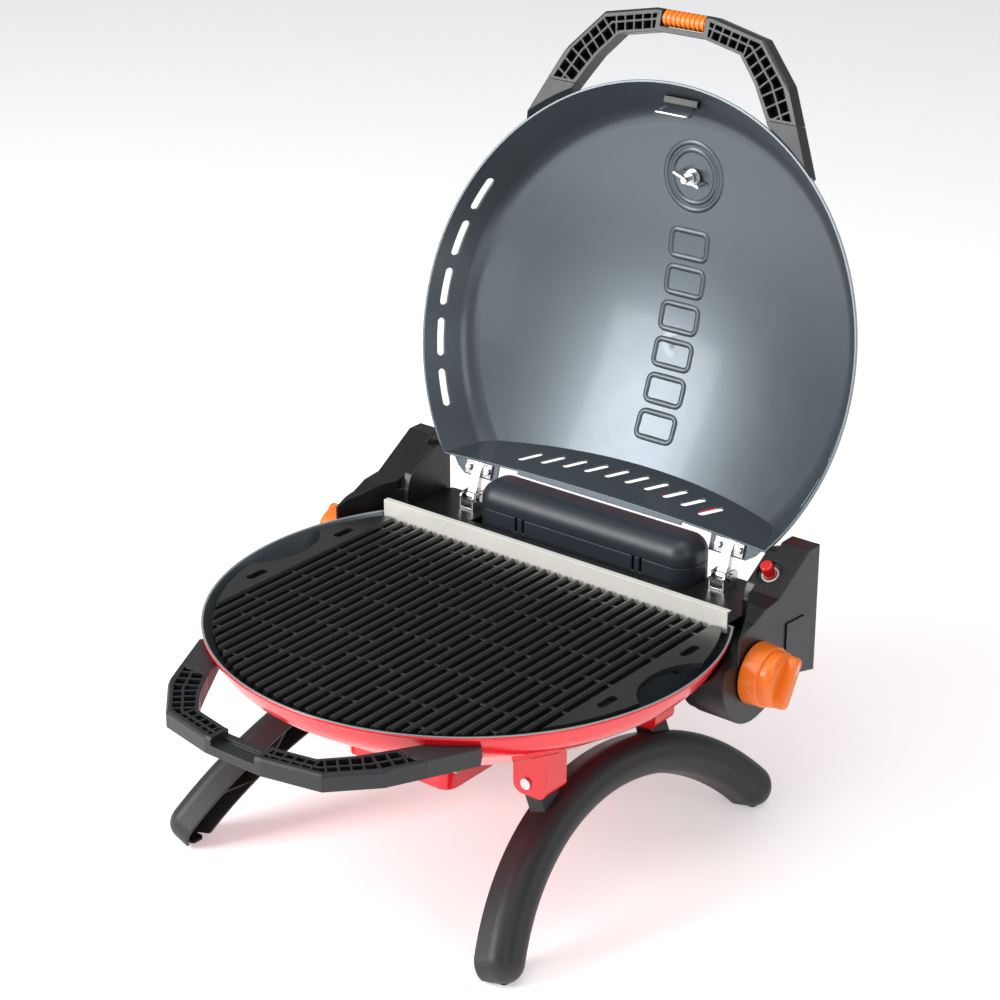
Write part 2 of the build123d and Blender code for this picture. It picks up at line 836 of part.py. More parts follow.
with BuildPart() as lid:
    add(lid_block(0))
    add(lid_block(sheet, drop=6), mode=Mode.SUBTRACT)
    with BuildSketch(opened(level(lid_rim_z))):
        with Locations((0, lid_back + hem_reach / 2)):
            Rectangle(2 * hem_half, hem_reach + 1)
    extrude(amount=sheet)
    with BuildSketch(opened(level(lid_rim_z + ear_height))):
        for s in (-1, 1):
            with BuildLine():
                Polyline(
                    (s * ear_inner, lid_back - 1),
                    (s * ear_inner, ear_back),
                    (s * (ear_outer - 19), ear_back),
                    (s * (ear_outer - 10), ear_back - 6),
                    (s * ear_outer, lid_back + 1),
                    close=True,
                )
            make_face()
        with Locations(*screw_spots):
            Circle(2 + fit, mode=Mode.SUBTRACT)
    extrude(amount=sheet)
    for s in (-1, 1):
        for place in range(-2, 3):
            angle = radians(place * side_slot_pitch - 1.5)
            outward = Vector(s * cos(angle), sin(angle), 0)
            slot_plane = Plane(
                origin=Vector(0, bowl_y + lid_setback, lid_rim_z + side_slot_height)
                + outward * (lid_radius - 40),
                x_dir=Vector(0, 0, 1).cross(outward),
                z_dir=outward,
            )
            with BuildSketch(opened(slot_plane)):
                SlotOverall(side_slot_length, side_slot_width)
            extrude(amount=60, mode=Mode.SUBTRACT)
    with BuildSketch(opened(front(lid_back + 40))):
        for number in range(rear_slot_count):
            slot_x = (number - (rear_slot_count - 1) / 2) * rear_slot_pitch
            slot_z = lid_rim_z + 42 - 0.0012 * slot_x**2
            with Locations((slot_x, slot_z)):
                SlotOverall(rear_slot_length, rear_slot_width, rotation=64)
    extrude(amount=90, mode=Mode.SUBTRACT)
    with BuildSketch(gauge_plane.offset(-20)):
        Circle(gauge_stem_radius + fit)
    extrude(amount=40, mode=Mode.SUBTRACT)
write(lid, "lid")

# ------------------------------------------------------------------ lid thermometer
with BuildPart() as gauge_case:
    with BuildSketch(gauge_plane.offset(1.0)):
        Circle(gauge_radius)
    extrude(amount=gauge_height)
    with BuildSketch(gauge_plane.offset(1.0 + 5)):
        Circle(gauge_radius - 2.5)
    extrude(amount=gauge_height, mode=Mode.SUBTRACT)
    with BuildSketch(gauge_plane.offset(1.0)):
        Circle(gauge_stem_radius)
    extrude(amount=-20)
write(gauge_case, "thermometer_case")

with BuildPart() as gauge_dial:
    with BuildSketch(gauge_plane.offset(6.0 + fit)):
        Circle(gauge_radius - 2.5 - fit)
    extrude(amount=0.8)
    with BuildSketch(gauge_plane.offset(7.0)):
        Circle(1.5)
    extrude(amount=1.6)
write(gauge_dial, "thermometer_dial")

with BuildPart() as gauge_needle:
    with BuildSketch(gauge_plane.offset(7.6)):
        Circle(3)
        Polygon((0, -1.4), (19, 0), (0, 1.4), (-7, 0), align=None, rotation=needle_cold)
        Circle(1.5 + running, mode=Mode.SUBTRACT)
    extrude(amount=0.9)
write(gauge_needle, "thermometer_needle")

with BuildPart() as gauge_glass:
    with BuildSketch(gauge_plane.offset(10.4)):
        Circle(gauge_radius - 2.5 - fit)
    extrude(amount=1.6)
write(gauge_glass, "thermometer_glass")

with BuildPart() as wing_nut:
    with BuildSketch(gauge_plane.offset(-sheet - 3.0 - 6)):
        Circle(6)
        Circle(gauge_stem_radius + running, mode=Mode.SUBTRACT)
    extrude(amount=6)
    with BuildSketch(gauge_plane.offset(-sheet - 3.0 - 11)):
        with Locations((-8.5, -3), (8.5, 3)):
            SlotOverall(12, 2.4, rotation=20)
    extrude(amount=11)
    with BuildSketch(gauge_plane.offset(-sheet - 3.0)):
        Circle(8)
        Circle(gauge_stem_radius + running, mode=Mode.SUBTRACT)
    extrude(amount=1.2)
write(wing_nut, "wing_nut")

# ------------------------------------------------------------------ grate hold-down in the lid
hold_y = -208.0
with BuildPart() as hold_block:
    with BuildSketch(opened(level(lid_rim_z + 14))):
        with Locations((0, hold_y - 6)):
            Rectangle(36, 6)
    extrude(amount=6)
    add(lid_block(sheet + fit, drop=6), mode=Mode.INTERSECT)
write(hold_block, "hold_down_block")


def lid_point(x, y, z):
    """A point of the closed lid, in bowl coordinates, carried to the open pose."""
    spot = (lid_swing * Location((x, y + bowl_y, z))).position
    return (spot.X, spot.Y - bowl_y, spot.Z)


wire_radius = 1.2
hold_wire = bent_tube(
    [
        lid_point(-14, hold_y - 1.6, lid_rim_z + 17),
        lid_point(-17, hold_y + 5, lid_rim_z + 8),
        lid_point(-17, hold_y + 6, lid_rim_z + 2),
        lid_point(17, hold_y + 6, lid_rim_z + 2),
        lid_point(17, hold_y + 5, lid_rim_z + 8),
        lid_point(14, hold_y - 1.6, lid_rim_z + 17),
    ],
    wire_radius,
    2.0,
)
write(hold_wire, "hold_down_wire")

# ------------------------------------------------------------------ carrying handles
outer_line = [(30, -291), (84, -280), (117, -245), (133, -213)]
inner_line = [(102, -213), (84, -241), (64, -263), (27, -270.5)]
handle_points = (
    outer_line
    + inner_line
    + [(-x, y) for x, y in reversed(inner_line)]
    + [(-x, y) for x, y in reversed(outer_line)]
)
middle_line = [(118, -214), (101, -243), (74, -271.5), (28, -281)]
seam_y = -213.0
cell_points = [
    (28, -286.0),
    (82, -275.0),
    (112.5, -242.5),
    (127, -215.5),
    (105, -215.5),
    (86.5, -243),
    (65.5, -265.5),
    (28, -273.2),
]
rib_pitch = 10.0
pocket_depth = 11.5


def handle_block(plane, sign):
    """A C-shaped handle standing on plane; its cells open towards sign times the normal."""
    with BuildPart() as block:
        with BuildSketch(plane):
            with BuildLine():
                Polyline(*handle_points, close=True)
            make_face()
        extrude(amount=handle_height)
        with BuildSketch(plane.offset(handle_height if sign > 0 else 0)):
            for s in (-1, 1):
                with BuildLine():
                    Polyline(*[(s * x, y) for x, y in cell_points], close=True)
                make_face()
            for s in (-1, 1):
                middle = [Vector(s * x, y) for x, y in middle_line]
                for start, end in zip(middle, middle[1:]):
                    run = end - start
                    turn = degrees(atan2(run.Y, run.X))
                    with Locations((start + end) * 0.5):
                        Rectangle(run.length + 1.5, 2.0, rotation=turn, mode=Mode.SUBTRACT)
                    count = round(run.length / rib_pitch)
                    for number in range(count):
                        with Locations(start + run * ((number + 0.5) / count)):
                            Rectangle(1.8, 40, rotation=turn, mode=Mode.SUBTRACT)
        extrude(amount=-sign * pocket_depth, mode=Mode.SUBTRACT)
        across = Axis(plane.origin, plane.z_dir)
        rims = block.faces().sort_by(across)[-1 if sign > 0 else 0].outer_wire().edges()
        centre = plane.from_local_coords(Vector(0, 0, 0))
        chamfer(rims.sort_by_distance(centre)[-5:], length=2.0)
    return block.part


with BuildPart() as lower_handle:
    add(handle_block(level(lower_handle_z), 1))
    with BuildSketch(level(lower_handle_z + handle_height - 7)):
        with Locations((0, -291)):
            Rectangle(2 * (grip_half + 1), 2 * 14)
    extrude(amount=20, mode=Mode.SUBTRACT)
    with BuildSketch(level(lower_handle_z + handle_height - 4)):
        with Locations((0, -272)):
            Rectangle(2 * (grip_half + 1), 2 * 6)
    extrude(amount=20, mode=Mode.SUBTRACT)
write(lower_handle, "lower_handle")

with BuildPart() as lid_handle:
    add(handle_block(opened(level(lid_handle_z)), -1))
    with BuildSketch(opened(level(lid_handle_z - 5))):
        with Locations((0, grip_y + grip_radius + moving - 30)):
            Rectangle(2 * (grip_half + moving), 60)
    extrude(amount=handle_height + 10, mode=Mode.SUBTRACT)
    with BuildSketch(opened(side(-grip_half - 6))):
        with Locations((grip_y, lid_handle_z + handle_height / 2)):
            Circle(3 + running)
    extrude(amount=2 * grip_half + 12, mode=Mode.SUBTRACT)
write(lid_handle, "lid_handle")

with BuildPart() as latch:
    with BuildSketch(opened(side(-grip_half))):
        with Locations((grip_y, lid_handle_z + handle_height / 2)):
            Circle(grip_radius - 1)
    extrude(amount=2 * grip_half)
    ring_count = 9
    for ring in range(ring_count):
        ring_x = (ring - (ring_count - 1) / 2) * (2 * grip_half - 5) / (ring_count - 1)
        with BuildSketch(opened(side(ring_x - 1.3))):
            with Locations((grip_y, lid_handle_z + handle_height / 2)):
                Circle(grip_radius)
        extrude(amount=2.6)
    with BuildSketch(opened(side(-grip_half - 4))):
        with Locations((grip_y, lid_handle_z + handle_height / 2)):
            Circle(3)
    extrude(amount=2 * grip_half + 8)
write(latch, "latch_grip")

bracket_corners = [(102, seam_y), (133, seam_y), (153, -172), (140, -152)]
for name, s in (("right", 1), ("left", -1)):
    for prefix, plane, block in (
        ("lower_handle_bracket", level(lower_handle_z), bowl_block(-fit)),
        ("lid_handle_bracket", opened(level(lid_handle_z)), lid_block(-fit, drop=20)),
    ):
        with BuildPart() as end_bracket:
            with BuildSketch(plane):
                with BuildLine():
                    Polyline(*[(s * x, y + fit) for x, y in bracket_corners], close=True)
                make_face()
            extrude(amount=handle_height)
            add(block, mode=Mode.SUBTRACT)
        write(end_bracket, f"{prefix}_{name}")

# ------------------------------------------------------------------ legs
for name, s in (("right", 1), ("left", -1)):
    lean = radians(leg_lean)
    leg_plane = Plane(
        origin=(s * leg_pivot_x, bowl_y, leg_pivot_z),
        x_dir=(0, s, 0),
        z_dir=(s * cos(lean), 0, sin(lean)),
    )
    arch_centre = (s * leg_curve_y, -leg_curve_drop)
    start_angle = 90 - leg_curve_half_angle
    with BuildLine() as arch:
        CenterArc(arch_centre, leg_curve_radius, start_angle, 2 * leg_curve_half_angle)
    arch_line = arch.edges()[0]
    with BuildPart() as leg:
        with BuildSketch(leg_plane.offset(-leg_inward)):
            SlotArc(arch_line, leg_width)
        extrude(amount=leg_inward + leg_outward)
        outward_axis = Axis(leg_plane.origin, leg_plane.z_dir)
        fillet(leg.faces().sort_by(outward_axis)[-1].edges(), radius=14)
        with BuildSketch(leg_plane.offset(-leg_inward)):
            SlotArc(arch_line, leg_width - 2 * leg_wall)
        extrude(amount=leg_inward + 4, mode=Mode.SUBTRACT)
        with BuildSketch(leg_plane.offset(-leg_inward + 2)):
            for number in range(7):
                angle = start_angle + 12 + number * (2 * leg_curve_half_angle - 24) / 6
                bearing = radians(angle)
                with Locations(
                    (
                        arch_centre[0] + leg_curve_radius * cos(bearing),
                        arch_centre[1] + leg_curve_radius * sin(bearing),
                    )
                ):
                    tilt = angle + (40 if number % 2 else -40)
                    Rectangle(leg_width + 14, 1.8, rotation=tilt)
            SlotArc(arch_line, leg_width - 2 * leg_wall + 1, mode=Mode.INTERSECT)
        extrude(amount=leg_inward + 3)
        with BuildSketch(leg_plane.offset(-8)):
            with Locations((s * front_stem_y, -15), (s * rear_stem_y, -15)):
                Rectangle(2 * stem_half_length, 30)
        extrude(amount=16)
        for stem_y in (front_stem_y, rear_stem_y):
            ends = [
                (s * leg_pivot_x, stem_y + end * stem_half_length, leg_pivot_z)
                for end in (-1, 1)
            ]
            add(rod(*ends, 8))
            add(rod(*ends, leg_pin_radius + running), mode=Mode.SUBTRACT)
        with BuildSketch(Plane.XY):
            Rectangle(2 * far, 2 * far)
        extrude(amount=foot_pad, mode=Mode.SUBTRACT)
        with BuildSketch(Plane.XY):
            Rectangle(2 * far, 2 * far)
        extrude(amount=-200, mode=Mode.SUBTRACT)
    write(leg, f"leg_{name}")

    with BuildPart() as pads:
        for end in (-1, 1):
            foot_angle = radians(90 - end * leg_curve_half_angle)
            foot_y = leg_curve_y + leg_curve_radius * cos(foot_angle)
            with BuildSketch(level(0)):
                with Locations((s * (leg_pivot_x + 45), foot_y)):
                    RectangleRounded(16, 14, 4)
            extrude(amount=foot_pad - fit / 4)
    write(pads, f"foot_pads_{name}")

    for place, stem_y in (("front", front_stem_y), ("rear", rear_stem_y)):
        with BuildPart() as leg_bracket:
            half = stem_half_length + 0.4 + bracket_sheet
            with BuildSketch(front(stem_y + half)) as plate:
                with Locations((s * (leg_pivot_x + 3), leg_pivot_z + 15)):
                    Rectangle(34, 52)
                fillet(plate.vertices().group_by(Axis.Y)[0], radius=9)
            extrude(amount=2 * half)
            with BuildSketch(level(0)):
                with Locations((s * (leg_pivot_x + 3 - bracket_sheet), stem_y)):
                    Rectangle(34, 2 * (half - bracket_sheet))
            extrude(amount=200, mode=Mode.SUBTRACT)
            add(bowl_block(-fit), mode=Mode.SUBTRACT)
            add(rod_y(s * leg_pivot_x, -far, far, leg_pivot_z, leg_pin_radius + running), mode=Mode.SUBTRACT)
        write(leg_bracket, f"leg_bracket_{place}_{name}")

with BuildPart() as leg_pins:
    half = stem_half_length + 0.4 + bracket_sheet
    for pin_x in (-leg_pivot_x, leg_pivot_x):
        for stem_y in (front_stem_y, rear_stem_y):
            pin_ends = (stem_y - half - 1, stem_y + half + 1)
            add(rod_y(pin_x, *pin_ends, leg_pivot_z, leg_pin_radius))
            add(rod_y(pin_x, stem_y - half - 2, stem_y - half - fit, leg_pivot_z, 5))
            add(rod_y(pin_x, stem_y + half + fit, stem_y + half + 2, leg_pivot_z, 5))
write(leg_pins, "leg_pins")

# ------------------------------------------------------------------ drip tray
tray_centre = (tray_front + tray_back) / 2
with BuildPart() as drip_tray:
    with BuildSketch(level(tray_top - tray_depth)):
        with Locations((0, tray_centre)):
            RectangleRounded(2 * tray_half, tray_back - tray_front, 12)
    extrude(amount=tray_depth)
    with BuildSketch(level(tray_top - tray_depth + sheet)):
        with Locations((0, tray_centre)):
            RectangleRounded(2 * (tray_half - sheet), tray_back - tray_front - 2 * sheet, 10)
    extrude(amount=tray_depth, mode=Mode.SUBTRACT)
    with BuildSketch(level(tray_top - sheet)):
        for s in (-1, 1):
            with Locations((s * (tray_half + tray_lip / 2 - 0.5), tray_centre)):
                Rectangle(tray_lip + 1, tray_back - tray_front - 20)
    extrude(amount=sheet)
write(drip_tray, "drip_tray")

with BuildPart() as tray_rails:
    rail_top = floor_z - fit
    shelf_z = tray_top - sheet - moving - sheet
    for s in (-1, 1):
        with BuildSketch(front(tray_front)):
            with BuildLine():
                Polyline(
                    *[
                        (s * x, z)
                        for x, z in (
                            (tray_half + moving, shelf_z),
                            (tray_half + tray_lip + moving + sheet, shelf_z),
                            (tray_half + tray_lip + moving + sheet, rail_top),
                            (tray_half + tray_lip + moving, rail_top),
                            (tray_half + tray_lip + moving, shelf_z + sheet),
                            (tray_half + moving, shelf_z + sheet),
                        )
                    ],
                    close=True,
                )
            make_face()
        extrude(amount=tray_front - tray_back)
write(tray_rails, "tray_rails")
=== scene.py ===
import math

import bpy
from bpy.props import FloatProperty, FloatVectorProperty, PointerProperty
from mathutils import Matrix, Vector


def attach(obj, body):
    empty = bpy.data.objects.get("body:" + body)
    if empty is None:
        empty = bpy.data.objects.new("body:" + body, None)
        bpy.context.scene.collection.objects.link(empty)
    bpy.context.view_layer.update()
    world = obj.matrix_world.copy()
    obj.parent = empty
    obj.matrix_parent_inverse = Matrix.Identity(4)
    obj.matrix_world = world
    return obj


bl_info = {
    "name": "Clamshell gas grill",
    "version": (1, 0, 0),
    "blender": (4, 5, 0),
    "location": "View3D > Sidebar > Grill",
    "description": "Dresses a portable clamshell gas grill and adds its small fittings",
    "category": "Add Mesh",
}

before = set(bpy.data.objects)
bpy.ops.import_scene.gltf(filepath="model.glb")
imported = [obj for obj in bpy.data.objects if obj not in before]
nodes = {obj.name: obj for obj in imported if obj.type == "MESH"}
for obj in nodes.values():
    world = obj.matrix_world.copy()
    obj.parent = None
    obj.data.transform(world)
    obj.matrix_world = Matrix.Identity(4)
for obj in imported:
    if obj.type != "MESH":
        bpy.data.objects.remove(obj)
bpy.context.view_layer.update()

# ------------------------------------------------------------------ sizes shared by pieces, in metres
BOWL_Y = -0.024
HINGE_Y = BOWL_Y + 0.181
HINGE_Z = 0.219
LID_OPEN = math.radians(106.2)
LID_RIM_Z = 0.2133
LID_AXIS_Y = BOWL_Y + 0.003
LID_RADIUS = 0.2325
LID_HEIGHT = 0.081
CAP_RADIUS = 0.580
SHEET = 0.0016
REAR_CORNER = math.radians(37.4)
GAUGE_Y = BOWL_Y - 0.150
BOWL_RIM_Z = 0.2120
BURNER_Z = 0.168
BURNER_TUBE = 0.007
OUTER_RING = 0.100
INNER_RING = 0.055
PORT_RADIUS = 0.0008
PAINT = 0.00006
KNOB_Y = BOWL_Y + 0.107
KNOB_Z = 0.181
KNOB_END = 0.26245
KNOB_TURN = math.radians(60)
DIAL_START = 215
DIAL_STEP = 10
DIAL_TICKS = 26
DIAL_EDGE = 0.0210
FLOOR_HALF = 14.0


def lid_point(x, y, z):
    """A point of the closed lid, carried to the open pose."""
    dy = y - HINGE_Y
    dz = z - HINGE_Z
    c = math.cos(LID_OPEN)
    s = math.sin(LID_OPEN)
    return Vector((x, HINGE_Y + dy * c + dz * s, HINGE_Z - dy * s + dz * c))


def lid_direction(x, y, z):
    """A direction of the closed lid, carried to the open pose."""
    return lid_point(x, y + HINGE_Y, z + HINGE_Z) - Vector((0, HINGE_Y, HINGE_Z))


def dome_point(x, y, lift):
    """A point of the lid's inner dome, lift away from the steel into the lid, and its normal."""
    centre = Vector((0, LID_AXIS_Y, LID_RIM_Z + LID_HEIGHT - CAP_RADIUS))
    radius = CAP_RADIUS - SHEET
    reach = y - LID_AXIS_Y
    height = math.sqrt(radius**2 - x**2 - reach**2)
    spot = centre + Vector((x, reach, height))
    normal = (centre - spot).normalized()
    spot = spot + normal * lift
    return lid_point(*spot), lid_direction(*normal)


# ------------------------------------------------------------------ mesh helpers
def mesh_piece(name, vertices, faces, material, body, slot, smooth=True):
    """A new mesh piece in the row frame, riding on a body."""
    mesh = bpy.data.meshes.new(name)
    mesh.from_pydata([tuple(v) for v in vertices], [], faces)
    mesh.validate()
    mesh.update()
    for face in mesh.polygons:
        face.use_smooth = smooth
    piece = bpy.data.objects.new(name, mesh)
    bpy.context.scene.collection.objects.link(piece)
    mesh.materials.append(material)
    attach(piece, body)
    return piece


def sweep(path, ups, profile, closed=False):
    """Vertices and faces of a profile carried along a path. Each profile point is (sideways, up)."""
    count = len(path)
    across = len(profile)
    vertices = []
    for i, spot in enumerate(path):
        before = path[i - 1] if closed or i > 0 else path[i]
        after = path[(i + 1) % count] if closed or i < count - 1 else path[i]
        along = (after - before).normalized()
        sideways = along.cross(ups[i]).normalized()
        up = sideways.cross(along).normalized()
        vertices += [spot + sideways * a + up * b for a, b in profile]
    faces = []
    for i in range(count if closed else count - 1):
        j = (i + 1) % count
        for k in range(across):
            m = (k + 1) % across
            faces.append((i * across + k, i * across + m, j * across + m, j * across + k))
    if not closed:
        faces.append(tuple(range(across - 1, -1, -1)))
        faces.append(tuple((count - 1) * across + k for k in range(across)))
    return vertices, faces


def oval(width, height, count=10, lift=0.0):
    """A closed oval profile."""
    turns = [2 * math.pi * k / count for k in range(count)]
    return [(width * math.cos(t), lift + height * math.sin(t)) for t in turns]


def box_shape(centre, length, width, height):
    """Vertices and faces of a box from its centre and its three half-length vectors."""
    corners = []
    for c in (-1, 1):
        for a, b in ((-1, -1), (1, -1), (1, 1), (-1, 1)):
            corners.append(centre + length * a + width * b + height * c)
    faces = [(0, 3, 2, 1), (4, 5, 6, 7), (0, 1, 5, 4), (1, 2, 6, 5), (2, 3, 7, 6), (3, 0, 4, 7)]
    if length.cross(width).dot(height) < 0:
        faces = [tuple(reversed(f)) for f in faces]
    return corners, faces


def bar(name, centre, length, width, height, material, body, slot):
    """A small box, such as a painted mark."""
    return mesh_piece(name, *box_shape(centre, length, width, height), material, body, slot, smooth=False)


def dress(name, material):
    """Gives a CAD piece its material."""
    piece = nodes[name]
    piece.data.materials.clear()
    piece.data.materials.append(material)
    return piece


# ------------------------------------------------------------------ shared effects
def start_group(name, inputs, outputs):
    """A shader node group with named sockets; returns the group, its input node and its output node."""
    group = bpy.data.node_groups.new(name, "ShaderNodeTree")
    for label, kind, value in inputs:
        socket = group.interface.new_socket(name=label, in_out="INPUT", socket_type=kind)
        if value is not None:
            socket.default_value = value
    for label, kind in outputs:
        group.interface.new_socket(name=label, in_out="OUTPUT", socket_type=kind)
    return group, group.nodes.new("NodeGroupInput"), group.nodes.new("NodeGroupOutput")


def math_node(tree, operation, first, second=None, third=None):
    """A Math node; each operand is a socket or a number."""
    node = tree.nodes.new("ShaderNodeMath")
    node.operation = operation
    for slot, value in enumerate((first, second, third)):
        if value is None:
            continue
        if isinstance(value, (int, float)):
            node.inputs[slot].default_value = value
        else:
            tree.links.new(value, node.inputs[slot])
    return node.outputs[0]


def vector_node(tree, operation, first, second=None):
    """A Vector Math node; each operand is a socket or three numbers."""
    node = tree.nodes.new("ShaderNodeVectorMath")
    node.operation = operation
    for slot, value in enumerate((first, second)):
        if value is None:
            continue
        if isinstance(value, (tuple, list, Vector)):
            node.inputs[slot].default_value = tuple(value)
        else:
            tree.links.new(value, node.inputs[slot])
    return node.outputs["Value"] if operation == "DOT_PRODUCT" else node.outputs[0]


def ramp(tree, value, low, high):
    """value mapped smoothly to 0 at low and 1 at high."""
    node = tree.nodes.new("ShaderNodeMapRange")
    node.interpolation_type = "SMOOTHSTEP"
    tree.links.new(value, node.inputs["Value"])
    node.inputs["From Min"].default_value = low
    node.inputs["From Max"].default_value = high
    return node.outputs["Result"]


def noise(tree, coordinates, scale, detail=4.0, roughness=0.55):
    """A Noise texture's value."""
    node = tree.nodes.new("ShaderNodeTexNoise")
    node.inputs["Detail"].default_value = detail
    node.inputs["Roughness"].default_value = roughness
    tree.links.new(coordinates, node.inputs["Vector"])
    if isinstance(scale, (int, float)):
        node.inputs["Scale"].default_value = scale
    else:
        tree.links.new(scale, node.inputs["Scale"])
    return node.outputs["Fac"]


def blend_colour(tree, share, first, second):
    """Mix of two colours, each a socket or a colour."""
    node = tree.nodes.new("ShaderNodeMix")
    node.data_type = "RGBA"
    tree.links.new(share, node.inputs["Factor"])
    for label, value in (("A", first), ("B", second)):
        socket = [s for s in node.inputs if s.name == label and s.type == "RGBA"][0]
        if isinstance(value, (tuple, list)):
            socket.default_value = (*value[:3], 1.0)
        else:
            tree.links.new(value, socket)
    return [s for s in node.outputs if s.type == "RGBA"][0]


def moulded_grain_group():
    """Fine pebbled grain of moulded plastic: a height, and a speckle value."""
    group, given, result = start_group(
        "Moulded grain",
        [("Scale", "NodeSocketFloat", 900.0)],
        [("Height", "NodeSocketFloat"), ("Speckle", "NodeSocketFloat")],
    )
    where = group.nodes.new("ShaderNodeTexCoord").outputs["Object"]
    cells = group.nodes.new("ShaderNodeTexVoronoi")
    cells.feature = "SMOOTH_F1"
    cells.inputs["Smoothness"].default_value = 0.6
    group.links.new(where, cells.inputs["Vector"])
    group.links.new(given.outputs["Scale"], cells.inputs["Scale"])
    fine = noise(group, where, given.outputs["Scale"], 2.0, 0.6)
    height = math_node(group, "MULTIPLY_ADD", fine, 0.6, cells.outputs["Distance"])
    group.links.new(height, result.inputs["Height"])
    group.links.new(fine, result.inputs["Speckle"])
    return group


def tone_drift_group():
    """Slow drift of a colour and of its gloss over a piece, with faint smudges."""
    group, given, result = start_group(
        "Tone drift",
        [
            ("Color", "NodeSocketColor", (0.5, 0.5, 0.5, 1.0)),
            ("Amount", "NodeSocketFloat", 0.1),
            ("Scale", "NodeSocketFloat", 12.0),
            ("Roughness", "NodeSocketFloat", 0.4),
            ("Smudge", "NodeSocketFloat", 0.05),
        ],
        [("Color", "NodeSocketColor"), ("Roughness", "NodeSocketFloat")],
    )
    where = group.nodes.new("ShaderNodeTexCoord").outputs["Object"]
    slow = noise(group, where, given.outputs["Scale"], 3.0, 0.5)
    centred = math_node(group, "SUBTRACT", slow, 0.5)
    factor = math_node(group, "MULTIPLY_ADD", centred, given.outputs["Amount"], 1.0)
    tint = group.nodes.new("ShaderNodeVectorMath")
    tint.operation = "SCALE"
    group.links.new(given.outputs["Color"], tint.inputs[0])
    group.links.new(factor, tint.inputs["Scale"])
    group.links.new(tint.outputs[0], result.inputs["Color"])
    smear = noise(group, where, 38.0, 5.0, 0.7)
    lifted = math_node(group, "SUBTRACT", smear, 0.45)
    rough = math_node(group, "MULTIPLY_ADD", lifted, given.outputs["Smudge"], given.outputs["Roughness"])
    group.links.new(rough, result.inputs["Roughness"])
    return group


def edge_wear_and_highlight_group():
    """Mask of sharp outer edges, broken up by noise: rubbed wear on the plastics, and on the grate wear
    together with a painted highlight.
    """
    group, given, result = start_group(
        "Edge wear and highlight",
        [("Width", "NodeSocketFloat", 0.001)],
        [("Mask", "NodeSocketFloat")],
    )
    bevel = group.nodes.new("ShaderNodeBevel")
    bevel.samples = 4
    group.links.new(given.outputs["Width"], bevel.inputs["Radius"])
    normal = group.nodes.new("ShaderNodeNewGeometry").outputs["Normal"]
    same = vector_node(group, "DOT_PRODUCT", bevel.outputs["Normal"], normal)
    edge = ramp(group, math_node(group, "SUBTRACT", 1.0, same), 0.01, 0.25)
    where = group.nodes.new("ShaderNodeTexCoord").outputs["Object"]
    broken = ramp(group, noise(group, where, 160.0, 4.0, 0.7), 0.35, 0.7)
    group.links.new(math_node(group, "MULTIPLY", edge, broken), result.inputs["Mask"])
    return group


def shell_sides_group():
    """Masks of a thin shell: its inside, and its rim within a band of a plane."""
    group, given, result = start_group(
        "Shell sides",
        [
            ("Heart", "NodeSocketVector", (0.0, 0.0, 0.0)),
            ("Rim Point", "NodeSocketVector", (0.0, 0.0, 0.0)),
            ("Rim Normal", "NodeSocketVector", (0.0, 0.0, 1.0)),
            ("Rim Width", "NodeSocketFloat", 0.002),
        ],
        [("Inside", "NodeSocketFloat"), ("Rim", "NodeSocketFloat")],
    )
    place = group.nodes.new("ShaderNodeTexCoord")
    inward = vector_node(group, "SUBTRACT", given.outputs["Heart"], place.outputs["Object"])
    inward = vector_node(group, "NORMALIZE", inward)
    facing = vector_node(group, "DOT_PRODUCT", inward, place.outputs["Normal"])
    group.links.new(ramp(group, facing, -0.02, 0.02), result.inputs["Inside"])
    reach = vector_node(group, "SUBTRACT", place.outputs["Object"], given.outputs["Rim Point"])
    reach = vector_node(group, "DOT_PRODUCT", reach, given.outputs["Rim Normal"])
    near = math_node(group, "DIVIDE", math_node(group, "ABSOLUTE", reach), given.outputs["Rim Width"])
    rim = math_node(group, "SUBTRACT", 1.0, ramp(group, near, 0.7, 1.0))
    group.links.new(rim, result.inputs["Rim"])
    return group


effects = {}


def place_group(material, name, **values):
    """A group node in a material, with its own values; underscores stand for spaces."""
    node = material.node_tree.nodes.new("ShaderNodeGroup")
    node.node_tree = effects[name]
    for label, value in values.items():
        node.inputs[label.replace("_", " ")].default_value = value
    return node


def new_material(name, colour, roughness, metallic=0.0, specular=0.5, coat=0.0, coat_roughness=0.1):
    """A material with a Principled shader; returns it and the shader."""
    material = bpy.data.materials.new(name)
    material.use_nodes = True
    shader = material.node_tree.nodes["Principled BSDF"]
    shader.inputs["Base Color"].default_value = (*colour[:3], 1.0)
    shader.inputs["Roughness"].default_value = roughness
    shader.inputs["Metallic"].default_value = metallic
    shader.inputs["Specular IOR Level"].default_value = specular
    shader.inputs["Coat Weight"].default_value = coat
    shader.inputs["Coat Roughness"].default_value = coat_roughness
    return material, shader


def soft_edges(material, shader, radius, height=None, strength=0.3, distance=0.0002):
    """Rounds a piece's edges in shading, and adds a bump on top where a height is given."""
    tree = material.node_tree
    bevel = tree.nodes.new("ShaderNodeBevel")
    bevel.samples = 4
    bevel.inputs["Radius"].default_value = radius
    normal = bevel.outputs["Normal"]
    if height is not None:
        bump = tree.nodes.new("ShaderNodeBump")
        bump.inputs["Strength"].default_value = strength
        bump.inputs["Distance"].default_value = distance
        tree.links.new(height, bump.inputs["Height"])
        tree.links.new(normal, bump.inputs["Normal"])
        normal = bump.outputs["Normal"]
    tree.links.new(normal, shader.inputs["Normal"])


